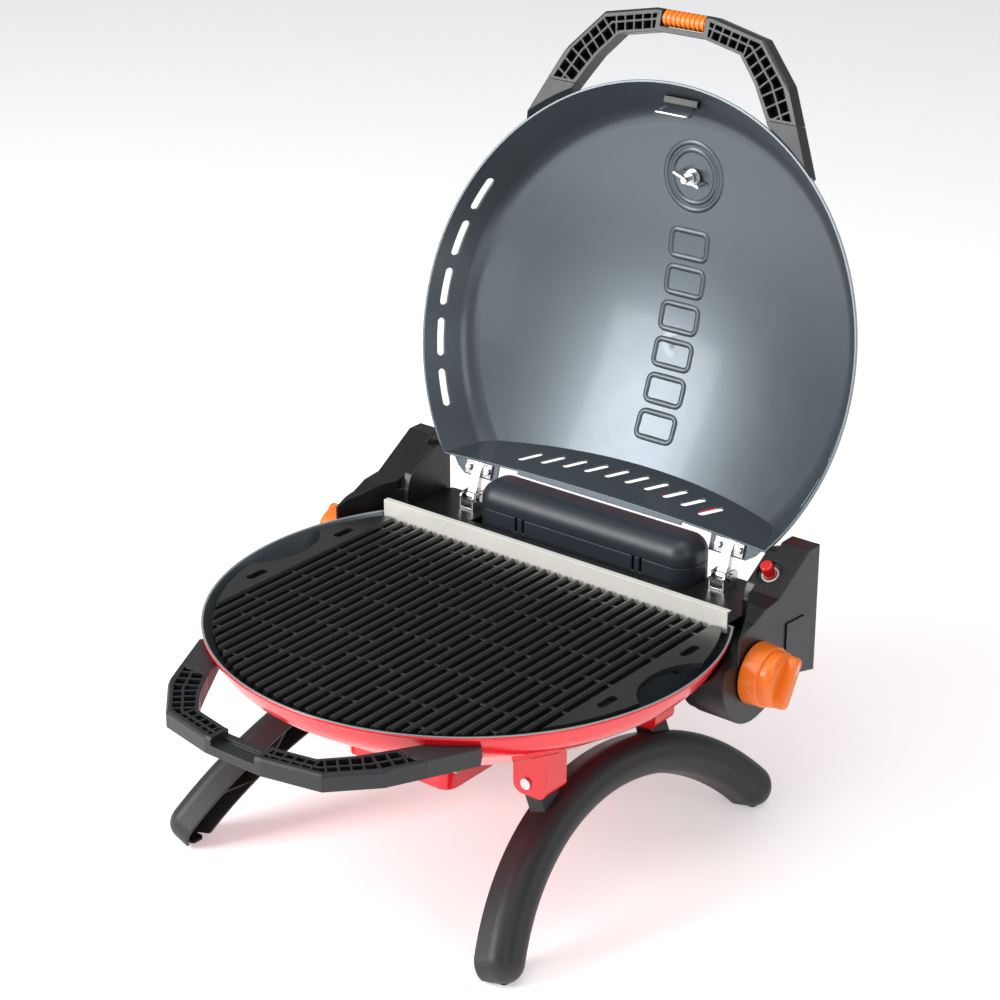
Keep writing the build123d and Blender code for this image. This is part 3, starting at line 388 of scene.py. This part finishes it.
def moulded_plastic(
    name, colour, roughness, grain=900.0, strength=0.35, wear=0.15, radius=0.0012, specular=0.5
):
    """Moulded plastic with a fine grain, tone drift and lightly rubbed edges."""
    material, shader = new_material(name, colour, roughness, specular=specular)
    tree = material.node_tree
    drift = place_group(
        material, "drift", Color=(*colour, 1.0), Amount=0.35, Scale=9.0, Roughness=roughness,
        Smudge=0.16
    )
    edge = place_group(material, "edge", Width=radius)
    worn = tuple(min(1.0, c * 1.7 + 0.02) for c in colour)
    share = math_node(tree, "MULTIPLY", edge.outputs["Mask"], wear)
    tree.links.new(blend_colour(tree, share, drift.outputs["Color"], worn), shader.inputs["Base Color"])
    tree.links.new(drift.outputs["Roughness"], shader.inputs["Roughness"])
    texture = place_group(material, "grain", Scale=grain)
    soft_edges(material, shader, radius, texture.outputs["Height"], strength, 0.00015)
    return material


def smooth_plastic(name, colour, roughness, coat=0.3, radius=0.0012):
    """Glossy or satin plastic with faint handling marks."""
    material, shader = new_material(name, colour, roughness, coat=coat, coat_roughness=0.18)
    tree = material.node_tree
    drift = place_group(
        material, "drift", Color=(*colour, 1.0), Amount=0.12, Scale=14.0, Roughness=roughness,
        Smudge=0.12
    )
    tree.links.new(drift.outputs["Color"], shader.inputs["Base Color"])
    tree.links.new(drift.outputs["Roughness"], shader.inputs["Roughness"])
    where = tree.nodes.new("ShaderNodeTexCoord").outputs["Object"]
    soft_edges(material, shader, radius, noise(tree, where, 420.0, 2.0), 0.08, 0.0001)
    return material


def bare_metal(
    name, colour, roughness, direction=(1.0, 1.0, 1.0), strength=0.15, radius=0.0006, metallic=1.0
):
    """Metal with drawn or brushed lines along one direction."""
    material, shader = new_material(name, colour, roughness, metallic=metallic)
    tree = material.node_tree
    place = tree.nodes.new("ShaderNodeTexCoord").outputs["Object"]
    stretched = vector_node(tree, "MULTIPLY", place, direction)
    lines = noise(tree, stretched, 900.0, 3.0, 0.6)
    rough = math_node(tree, "MULTIPLY_ADD", lines, 0.22, roughness - 0.11)
    tree.links.new(rough, shader.inputs["Roughness"])
    drift = place_group(
        material, "drift", Color=(*colour, 1.0), Amount=0.2, Scale=22.0, Roughness=roughness, Smudge=0.1
    )
    tree.links.new(drift.outputs["Color"], shader.inputs["Base Color"])
    soft_edges(material, shader, radius, lines, strength, 0.00006)
    return material


def shell_enamel(name, outside, inside, rim, heart, rim_point, rim_normal, rim_width, inside_metal=0.6):
    """Vitreous enamel on a pressed shell: one colour outside, another inside, and a pale bare rim."""
    material, shader = new_material(name, outside, 0.2, coat=0.45, coat_roughness=0.08)
    tree = material.node_tree
    sides = place_group(
        material, "sides", Heart=heart, Rim_Point=rim_point, Rim_Normal=rim_normal, Rim_Width=rim_width
    )
    out = place_group(
        material, "drift", Color=(*outside, 1.0), Amount=0.08, Scale=6.0, Roughness=0.2, Smudge=0.05
    )
    inner = place_group(
        material, "drift", Color=(*inside, 1.0), Amount=0.16, Scale=5.0, Roughness=0.31, Smudge=0.1
    )
    body = blend_colour(tree, sides.outputs["Inside"], out.outputs["Color"], inner.outputs["Color"])
    body = blend_colour(tree, sides.outputs["Rim"], body, rim)
    tree.links.new(body, shader.inputs["Base Color"])
    mix = tree.nodes.new("ShaderNodeMix")
    tree.links.new(sides.outputs["Inside"], mix.inputs["Factor"])
    tree.links.new(out.outputs["Roughness"], mix.inputs["A"])
    tree.links.new(inner.outputs["Roughness"], mix.inputs["B"])
    tree.links.new(mix.outputs["Result"], shader.inputs["Roughness"])
    satin = math_node(tree, "MULTIPLY", sides.outputs["Inside"], inside_metal)
    tree.links.new(satin, shader.inputs["Metallic"])
    coat = math_node(tree, "MULTIPLY_ADD", sides.outputs["Inside"], -0.3, 0.45)
    tree.links.new(coat, shader.inputs["Coat Weight"])
    where = tree.nodes.new("ShaderNodeTexCoord").outputs["Object"]
    peel = math_node(
        tree, "MULTIPLY_ADD", noise(tree, where, 260.0, 2.0), 0.5, noise(tree, where, 22.0, 2.0)
    )
    soft_edges(material, shader, 0.0008, peel, 0.12, 0.0003)
    return material


# ------------------------------------------------------------------ sizes and colours a user would change
def colour_property(name, text, value):
    return FloatVectorProperty(
        name=name, description=text, subtype="COLOR", size=3, min=0.0, max=1.0, default=value
    )


class GrillShellSettings(bpy.types.PropertyGroup):
    outside: colour_property("Outside", "Enamel outside the bowl and the lid", (0.80, 0.006, 0.014))
    inside: colour_property("Inside", "Enamel inside the bowl and the lid", (0.090, 0.108, 0.122))
    rim: colour_property("Rim", "Bare rolled rim", (0.34, 0.35, 0.36))
    bead: FloatProperty(
        name="Rim bead", description="Radius of the lid's rolled rim", unit="LENGTH", default=0.0012
    )
    ridge: FloatProperty(
        name="Ridge", description="Height of the pressed ridges in the lid", unit="LENGTH",
        default=0.0017
    )


class GrillPlasticSettings(bpy.types.PropertyGroup):
    housing: colour_property("Housing", "Rear deck and side towers", (0.0065, 0.0065, 0.0070))
    handle: colour_property("Handle", "Carrying handles", (0.014, 0.015, 0.017))
    bracket: colour_property("Handle bracket", "End brackets of the handles", (0.022, 0.023, 0.025))
    leg: colour_property("Leg", "Folding legs", (0.016, 0.017, 0.019))
    box: colour_property("Storage box", "Storage box and its cover", (0.020, 0.026, 0.034))
    knob: colour_property("Knob", "Burner knobs", (0.86, 0.17, 0.006))
    grip: colour_property("Grip", "Latch grip on the lid handle", (0.92, 0.22, 0.010))
    button: colour_property("Button", "Igniter button", (0.60, 0.008, 0.010))


class GrillStageSettings(bpy.types.PropertyGroup):
    floor: colour_property("Floor", "Studio floor", (0.97, 0.97, 0.97))
    key: FloatProperty(name="Key light", description="Power of the main light", default=26.0)
    lens: FloatProperty(name="Lens", description="Focal length on a 36 mm sensor, in mm", default=93.0)


class GrillSettings(bpy.types.PropertyGroup):
    shell: PointerProperty(type=GrillShellSettings)
    plastic: PointerProperty(type=GrillPlasticSettings)
    stage: PointerProperty(type=GrillStageSettings)


def settings():
    return bpy.context.scene.grill


# ------------------------------------------------------------------ operators
class GRILL_OT_effects(bpy.types.Operator):
    """Builds the shader effects that several finishes share"""

    bl_idname = "grill.effects"
    bl_label = "Shared effects"

    def execute(self, context):
        effects["grain"] = moulded_grain_group()
        effects["drift"] = tone_drift_group()
        effects["edge"] = edge_wear_and_highlight_group()
        effects["sides"] = shell_sides_group()
        return {"FINISHED"}


class GRILL_OT_shells(bpy.types.Operator):
    """Enamels the bowl, the lid and the drip tray, and adds the lid's rolled rim and pressed ridges"""

    bl_idname = "grill.shells"
    bl_label = "Bowl and lid"

    def execute(self, context):
        shell = settings().shell
        outside = tuple(shell.outside)
        inside = tuple(shell.inside)
        rim = tuple(shell.rim)
        bowl = shell_enamel(
            "Bowl enamel", outside, inside, rim,
            (0, BOWL_Y, 0.40), (0, BOWL_Y, BOWL_RIM_Z), (0, 0, 1), 0.0009, 0.3
        )
        dress("bowl", bowl)
        lid_heart = lid_point(0, LID_AXIS_Y, LID_RIM_Z - 0.15)
        rim_point = lid_point(0, LID_AXIS_Y, LID_RIM_Z)
        lid = shell_enamel(
            "Lid enamel", outside, inside, inside, lid_heart, rim_point, lid_direction(0, 0, 1), 0.0012
        )
        dress("lid", lid)
        tray = shell_enamel(
            "Tray enamel", outside, outside, outside, (0, BOWL_Y, 0.3), (0, 0, 1), (0, 0, 1), 0.0001, 0.0
        )
        dress("drip_tray", tray)
        self.lid_rim(rim, shell.bead)
        slate, shader = new_material("Slate enamel", inside, 0.36, metallic=0.6, coat=0.15)
        drift = place_group(
            slate, "drift", Color=(*inside, 1.0), Amount=0.16, Scale=5.0, Roughness=0.36, Smudge=0.1
        )
        slate.node_tree.links.new(drift.outputs["Color"], shader.inputs["Base Color"])
        slate.node_tree.links.new(drift.outputs["Roughness"], shader.inputs["Roughness"])
        self.ridges(slate, shell.ridge)
        return {"FINISHED"}

    def lid_rim(self, colour, bead):
        """The lid's rolled edge, round the front from one rear corner to the other."""
        pale, shader = new_material("Bare rim", colour, 0.32, metallic=0.0, coat=0.3)
        drift = place_group(
            pale, "drift", Color=(*colour, 1.0), Amount=0.15, Scale=30.0, Roughness=0.32, Smudge=0.2
        )
        pale.node_tree.links.new(drift.outputs["Color"], shader.inputs["Base Color"])
        pale.node_tree.links.new(drift.outputs["Roughness"], shader.inputs["Roughness"])
        start = REAR_CORNER
        stop = -math.pi - REAR_CORNER
        count = 160
        path = []
        ups = []
        for k in range(count + 1):
            t = start + (stop - start) * k / count
            radius = LID_RADIUS - 0.0008
            x = radius * math.cos(t)
            y = LID_AXIS_Y + radius * math.sin(t)
            path.append(lid_point(x, y, LID_RIM_Z + 0.0013))
            ups.append(lid_direction(0, 0, 1))
        mesh_piece("lid_rolled_rim", *sweep(path, ups, oval(bead, bead)), pale, "lid", "enamel_red")

    def ridge(self, name, outline, material, height, closed=True):
        """One pressed ridge on the dome, along an outline of (x, y) in the closed lid."""
        spots = [dome_point(x, y, -0.0004) for x, y in outline]
        path = [s for s, n in spots]
        ups = [n for s, n in spots]
        profile = [(-0.0034, 0), (-0.0022, height * 0.45), (-0.0009, height * 0.95), (0, height)]
        profile += [(0.0009, height * 0.95), (0.0022, height * 0.45), (0.0034, 0)]
        vertices, faces = sweep(path, ups, profile, closed)
        mesh_piece(name, vertices, faces, material, "lid", "enamel_red")

    def ridges(self, material, height):
        """A ring round the thermometer's stem and a plain ladder of rounded frames below it."""
        centre = GAUGE_Y
        for name, radius in (("pressed_ring_outer", 0.030), ("pressed_ring_inner", 0.0235)):
            outline = []
            for k in range(72):
                t = 2 * math.pi * k / 72
                outline.append((radius * math.cos(t), centre + radius * math.sin(t)))
            self.ridge(name, outline, material, height)
        for number in range(6):
            middle = BOWL_Y - 0.088 + 0.034 * number
            outline = rounded_frame(0.0195, 0.0120, 0.0055)
            outline = [(x, middle + y) for x, y in outline]
            self.ridge(f"pressed_frame_{number + 1}", outline, material, height)


def rounded_frame(half_x, half_y, corner, steps=6):
    """Points round a rounded rectangle."""
    points = []
    for cx, cy, turn in ((1, 1, 0), (-1, 1, 90), (-1, -1, 180), (1, -1, 270)):
        for k in range(steps + 1):
            t = math.radians(turn + 90 * k / steps)
            x = cx * (half_x - corner) + corner * math.cos(t)
            y = cy * (half_y - corner) + corner * math.sin(t)
            points.append((x, y))
    return points


class GRILL_OT_cooking(bpy.types.Operator):
    """Finishes the cast grate, the back strip, the burners and the tray's rails"""

    bl_idname = "grill.cooking"
    bl_label = "Grate and burners"

    def execute(self, context):
        iron, shader = new_material(
            "Satin cast iron", (0.011, 0.011, 0.011), 0.42, specular=0.55, coat=0.15, coat_roughness=0.3
        )
        tree = iron.node_tree
        where = tree.nodes.new("ShaderNodeTexCoord").outputs["Object"]
        drift = place_group(
            iron, "drift", Color=(0.012, 0.0115, 0.011, 1.0), Amount=0.6, Scale=18.0, Roughness=0.40,
            Smudge=0.3
        )
        # The grate's edges are mixed towards a lighter iron colour: partly rubbed wear, partly a painted
        # highlight along the tops of the bars and ribs.
        edge = place_group(iron, "edge", Width=0.0009)
        share = math_node(tree, "MULTIPLY", edge.outputs["Mask"], 0.25)
        tree.links.new(
            blend_colour(tree, share, drift.outputs["Color"], (0.05, 0.047, 0.044)),
            shader.inputs["Base Color"]
        )
        tree.links.new(drift.outputs["Roughness"], shader.inputs["Roughness"])
        cast = math_node(
            tree, "MULTIPLY_ADD", noise(tree, where, 700.0, 4.0, 0.7), 0.6,
            noise(tree, where, 130.0, 3.0)
        )
        soft_edges(iron, shader, 0.0012, cast, 0.4, 0.0003)
        dress("cooking_grate", iron)
        stainless = bare_metal(
            "Brushed stainless", (0.92, 0.90, 0.83), 0.50, (0.06, 1.0, 1.0), 0.2, metallic=0.4
        )
        dress("back_strip", stainless)
        tube = bare_metal("Burner steel", (0.40, 0.37, 0.33), 0.42)
        for name in ("outer_burner", "inner_burner", "burner_stand", "tray_rails"):
            dress(name, tube)
        dark = new_material("Port shadow", (0.004, 0.004, 0.004), 0.8)[0]
        self.ports("outer_burner_ports", OUTER_RING, 60, dark)
        self.ports("inner_burner_ports", INNER_RING, 32, dark)
        return {"FINISHED"}

    def ports(self, name, ring, count, material):
        """Flame ports round the upper outside of a burner ring."""
        reach = BURNER_TUBE + PAINT
        vertices = []
        faces = []
        for k in range(count):
            turn = 2 * math.pi * k / count
            out = Vector((math.cos(turn), math.sin(turn), 0))
            side = Vector((-math.sin(turn), math.cos(turn), 0))
            normal = out * math.cos(0.7) + Vector((0, 0, math.sin(0.7)))
            up = side.cross(normal)
            spot = Vector((0, BOWL_Y, BURNER_Z)) + out * ring + normal * reach
            first = len(vertices)
            for j in range(8):
                t = math.pi * j / 4
                vertices.append(spot + (side * math.cos(t) + up * math.sin(t)) * PORT_RADIUS)
            faces.append(tuple(range(first, first + 8)))
        mesh_piece(name, vertices, faces, material, "base", "burner_steel", smooth=False)


class GRILL_OT_gas(bpy.types.Operator):
    """Finishes the valves, tubes, regulator and inlet"""

    bl_idname = "grill.gas"
    bl_label = "Gas parts"

    def execute(self, context):
        brass = bare_metal("Machined brass", (0.70, 0.50, 0.20), 0.28)
        for name in ("gas_valve_left", "gas_valve_right", "gas_inlet"):
            dress(name, brass)
        tube = bare_metal("Drawn tube", (0.60, 0.60, 0.61), 0.35)
        for name in ("gas_tube_left", "gas_tube_right", "gas_manifold", "regulator_tube"):
            dress(name, tube)
        dress(
            "gas_regulator", bare_metal("Die casting", (0.45, 0.45, 0.46), 0.5, strength=0.4),
        )
        return {"FINISHED"}


class GRILL_OT_housing(bpy.types.Operator):
    """Finishes the rear deck, the side towers and their panels"""

    bl_idname = "grill.housing"
    bl_label = "Housing"

    def execute(self, context):
        black = moulded_plastic(
            "Housing plastic", tuple(settings().plastic.housing), 0.34, 1100.0, 0.18, 0.2, 0.0022
        )
        for name in ("rear_deck", "side_tower_left", "side_tower_right"):
            dress(name, black)
        panel = moulded_plastic("Panel plastic", (0.006, 0.006, 0.0065), 0.28, 1500.0, 0.1, 0.1, 0.0006)
        for name in ("side_panel_left", "side_panel_right"):
            dress(name, panel)
        return {"FINISHED"}


class GRILL_OT_controls(bpy.types.Operator):
    """Finishes the knobs and the igniter"""

    bl_idname = "grill.controls"
    bl_label = "Knobs and igniter"

    def execute(self, context):
        plastic = settings().plastic
        orange = smooth_plastic("Knob plastic", tuple(plastic.knob), 0.34, 0.25, 0.0016)
        for name in ("burner_knob_left", "burner_knob_right"):
            dress(name, orange)
        dress("igniter_body", smooth_plastic("Collar plastic", (0.62, 0.62, 0.60), 0.3))
        dress(
            "igniter_button", smooth_plastic("Button plastic", tuple(plastic.button), 0.22, 0.5),
        )
        dress(
            "spark_electrode", smooth_plastic("Glazed ceramic", (0.75, 0.73, 0.68), 0.2, 0.5),
        )
        dress("igniter_lead", moulded_plastic("Lead sleeve", (0.01, 0.01, 0.01), 0.5))
        pale = smooth_plastic("Pointer paint", (0.80, 0.80, 0.78), 0.4, 0.1, 0.0002)
        for side, s in (("right", 1), ("left", -1)):
            along = Vector((0, math.cos(KNOB_TURN), math.sin(KNOB_TURN)))
            across = Vector((1, 0, 0)).cross(along)
            spot = Vector((s * KNOB_END, KNOB_Y, KNOB_Z)) + along * 0.0130
            raised = Vector((s * 0.0002, 0, 0))
            shape = (spot, along * 0.0042, across * 0.0008, raised)
            bar(f"knob_pointer_{side}", *shape, pale, f"knob_{side}", "knob_orange")
        return {"FINISHED"}


class GRILL_OT_storage(bpy.types.Operator):
    """Finishes the storage box"""

    bl_idname = "grill.storage"
    bl_label = "Storage box"

    def execute(self, context):
        slate = moulded_plastic(
            "Storage box plastic", tuple(settings().plastic.box), 0.40, 1200.0, 0.2, 0.15, 0.0025
        )
        for name in ("storage_box", "storage_box_cover"):
            dress(name, slate)
        return {"FINISHED"}


class GRILL_OT_hinges(bpy.types.Operator):
    """Finishes the hinges and the small steel fittings"""

    bl_idname = "grill.hinges"
    bl_label = "Hinges and fittings"

    def execute(self, context):
        chrome = bare_metal("Bright plating", (0.60, 0.60, 0.61), 0.20, strength=0.04)
        for name in ("hinge_bracket", "hinge_pin", "hinge_arm"):
            for side in ("left", "right"):
                dress(f"{name}_{side}", chrome)
        zinc = bare_metal("Zinc plating", (0.66, 0.66, 0.67), 0.26)
        for name in ("hinge_screws", "wing_nut", "hold_down_wire", "leg_pins"):
            dress(name, zinc)
        block = moulded_plastic("Hold-down plastic", (0.010, 0.010, 0.011), 0.4)
        dress("hold_down_block", block)
        return {"FINISHED"}


class GRILL_OT_gauge(bpy.types.Operator):
    """Finishes the lid thermometer"""

    bl_idname = "grill.gauge"
    bl_label = "Lid thermometer"

    def execute(self, context):
        dress("thermometer_case", bare_metal("Spun stainless", (0.68, 0.67, 0.65), 0.26))
        dial, shader = new_material("Dial face", (0.80, 0.80, 0.77), 0.45)
        drift = place_group(
            dial, "drift", Color=(0.80, 0.80, 0.77, 1.0), Amount=0.05, Scale=30.0, Roughness=0.45,
            Smudge=0.1
        )
        dial.node_tree.links.new(drift.outputs["Color"], shader.inputs["Base Color"])
        dial.node_tree.links.new(drift.outputs["Roughness"], shader.inputs["Roughness"])
        dress("thermometer_dial", dial)
        dress("thermometer_needle", smooth_plastic("Needle paint", (0.55, 0.02, 0.01), 0.35))
        glass, shader = new_material("Gauge glass", (0.95, 0.98, 0.98), 0.03)
        shader.inputs["Transmission Weight"].default_value = 1.0
        shader.inputs["IOR"].default_value = 1.3
        dress("thermometer_glass", glass)
        self.marks()
        return {"FINISHED"}

    def marks(self):
        """Plain tick marks round the dial, every fifth one longer."""
        ink = smooth_plastic("Dial ink", (0.010, 0.010, 0.010), 0.5, 0.0, 0.0001)
        spots = corner_points("thermometer_dial")
        panes = corner_points("thermometer_glass")
        centre = middle(spots)
        outward = (middle(panes) - centre).normalized()
        face = max((v - centre).dot(outward) for v in spots)
        across = Vector((1, 0, 0))
        upward = outward.cross(across)
        vertices = []
        faces = []
        for k in range(DIAL_TICKS):
            t = math.radians(DIAL_START - DIAL_STEP * k)
            ray = across * math.cos(t) + upward * math.sin(t)
            half = 0.0016 if k % 5 else 0.0027
            spot = centre + outward * (face + 0.00004) + ray * (DIAL_EDGE - half)
            corners, sides = box_shape(spot, ray * half, ray.cross(outward) * 0.0003, outward * 0.00004)
            faces += [tuple(i + len(vertices) for i in side) for side in sides]
            vertices += corners
        mesh_piece("dial_marks", vertices, faces, ink, "lid", "dial_white", smooth=False)


def corner_points(name):
    """A CAD piece's vertices in the row frame."""
    piece = nodes[name]
    return [piece.matrix_world @ v.co for v in piece.data.vertices]


def middle(points):
    """Centre of the box round some points."""
    low = [min(p[i] for p in points) for i in range(3)]
    high = [max(p[i] for p in points) for i in range(3)]
    return Vector([(a + b) / 2 for a, b in zip(low, high)])


class GRILL_OT_handles(bpy.types.Operator):
    """Finishes the carrying handles, their brackets and the latch grip"""

    bl_idname = "grill.handles"
    bl_label = "Handles"

    def execute(self, context):
        plastic = settings().plastic
        grip = moulded_plastic("Handle plastic", tuple(plastic.handle), 0.36, 800.0, 0.3, 0.3, 0.0012)
        dress("lower_handle", grip)
        dress("lid_handle", grip)
        bracket = moulded_plastic(
            "Handle bracket plastic", tuple(plastic.bracket), 0.42, 800.0, 0.3, 0.2, 0.0012
        )
        for name in ("lower_handle_bracket", "lid_handle_bracket"):
            for side in ("left", "right"):
                dress(f"{name}_{side}", bracket)
        dress(
            "latch_grip", smooth_plastic("Grip plastic", tuple(plastic.grip), 0.38, 0.15, 0.0008),
        )
        return {"FINISHED"}


class GRILL_OT_legs(bpy.types.Operator):
    """Finishes the legs, their feet and their folded brackets"""

    bl_idname = "grill.legs"
    bl_label = "Legs"

    def execute(self, context):
        leg = moulded_plastic("Leg plastic", tuple(settings().plastic.leg), 0.46, 520.0, 0.5, 0.25, 0.0018)
        rubber = moulded_plastic("Foot rubber", (0.010, 0.010, 0.010), 0.75, 600.0, 0.4, 0.0)
        red = tuple(settings().shell.outside)
        enamel = shell_enamel(
            "Bracket enamel", red, red, red, (0, BOWL_Y, 0.3), (0, 0, 1), (0, 0, 1), 0.0001, 0.0
        )
        for side in ("left", "right"):
            dress(f"leg_{side}", leg)
            dress(f"foot_pads_{side}", rubber)
            for place in ("front", "rear"):
                dress(f"leg_bracket_{place}_{side}", enamel)
        return {"FINISHED"}


class GRILL_OT_stage(bpy.types.Operator):
    """Sets up the floor, the soft studio light and the camera"""

    bl_idname = "grill.stage"
    bl_label = "Stage"

    def execute(self, context):
        stage = settings().stage
        scene = bpy.context.scene
        pale, shader = new_material("Studio floor", tuple(stage.floor), 0.9, specular=0.0)
        shader.inputs["Emission Color"].default_value = (1.0, 1.0, 1.0, 1.0)
        shader.inputs["Emission Strength"].default_value = 0.35
        mesh = bpy.data.meshes.new("studio_floor")
        corners = [(x * FLOOR_HALF, y * FLOOR_HALF, 0) for x, y in ((-1, -1), (1, -1), (1, 1), (-1, 1))]
        mesh.from_pydata(corners, [], [(0, 1, 2, 3)])
        mesh.materials.append(pale)
        floor = bpy.data.objects.new("studio_floor", mesh)
        scene.collection.objects.link(floor)
        world = bpy.data.worlds.new("Studio")
        scene.world = world
        world.use_nodes = True
        tree = world.node_tree
        backdrop = tree.nodes["Background"]
        backdrop.inputs["Color"].default_value = (1.0, 1.0, 1.0, 1.0)
        backdrop.inputs["Strength"].default_value = 1.0
        room = tree.nodes.new("ShaderNodeBackground")
        room.inputs["Color"].default_value = (0.95, 0.97, 1.0, 1.0)
        room.inputs["Strength"].default_value = 0.33
        seen = tree.nodes.new("ShaderNodeLightPath").outputs["Is Camera Ray"]
        mix = tree.nodes.new("ShaderNodeMixShader")
        tree.links.new(seen, mix.inputs[0])
        tree.links.new(room.outputs[0], mix.inputs[1])
        tree.links.new(backdrop.outputs[0], mix.inputs[2])
        tree.links.new(mix.outputs[0], tree.nodes["World Output"].inputs[0])
        self.softbox("key_light", (-1.6, -1.9, 2.4), (0, 0, 0.3), 1.6, 1.6, stage.key)
        self.softbox("side_light", (2.6, -0.6, 1.5), (0, 0, 0.3), 1.0, 1.8, stage.key * 0.5)
        self.softbox("top_light", (0.3, -0.2, 2.8), (0, 0, 0.2), 2.4, 1.8, stage.key * 1.15)
        self.softbox("front_light", (0.6, -3.0, 0.9), (0, 0, 0.3), 1.8, 0.8, stage.key * 0.35)
        self.softbox("lid_light", (-1.55, -2.3, 1.3), (0, 0.1, 0.4), 1.1, 1.3, stage.key * 2.3)
        data = bpy.data.cameras.new("camera")
        data.lens = stage.lens
        data.sensor_width = 36.0
        data.clip_end = 60.0
        camera = bpy.data.objects.new("camera", data)
        camera.location = (1.2670, -1.5427 + BOWL_Y, 1.1826)
        target = Vector((0.0219, 0.0166 + BOWL_Y, 0.3148))
        camera.rotation_euler = (target - camera.location).to_track_quat("-Z", "Y").to_euler()
        scene.collection.objects.link(camera)
        scene.camera = camera
        scene.view_settings.view_transform = "Standard"
        return {"FINISHED"}

    def softbox(self, name, place, target, width, height, power):
        """A large soft area light."""
        data = bpy.data.lights.new(name, "AREA")
        data.shape = "RECTANGLE"
        data.size = width
        data.size_y = height
        data.energy = power
        light = bpy.data.objects.new(name, data)
        light.location = place
        light.rotation_euler = (Vector(target) - Vector(place)).to_track_quat("-Z", "Y").to_euler()
        bpy.context.scene.collection.objects.link(light)


OPERATORS = (
    GRILL_OT_effects,
    GRILL_OT_shells,
    GRILL_OT_cooking,
    GRILL_OT_gas,
    GRILL_OT_housing,
    GRILL_OT_controls,
    GRILL_OT_storage,
    GRILL_OT_hinges,
    GRILL_OT_gauge,
    GRILL_OT_handles,
    GRILL_OT_legs,
    GRILL_OT_stage,
)


class GRILL_PT_panel(bpy.types.Panel):
    """Lists the grill's pieces and settings"""

    bl_idname = "GRILL_PT_panel"
    bl_label = "Gas grill"
    bl_space_type = "VIEW_3D"
    bl_region_type = "UI"
    bl_category = "Grill"

    def draw(self, context):
        for group in (settings().shell, settings().plastic, settings().stage):
            for name in group.__annotations__:
                self.layout.prop(group, name)
        for operator in OPERATORS:
            self.layout.operator(operator.bl_idname)


CLASSES = (
    GrillShellSettings,
    GrillPlasticSettings,
    GrillStageSettings,
    GrillSettings,
    *OPERATORS,
    GRILL_PT_panel,
)


def register():
    for item in CLASSES:
        bpy.utils.register_class(item)
    bpy.types.Scene.grill = PointerProperty(type=GrillSettings)


def unregister():
    del bpy.types.Scene.grill
    for item in reversed(CLASSES):
        bpy.utils.unregister_class(item)


def main():
    register()
    for operator in OPERATORS:
        group, action = operator.bl_idname.split(".")
        getattr(getattr(bpy.ops, group), action)()


if __name__ == "__main__":
    main()
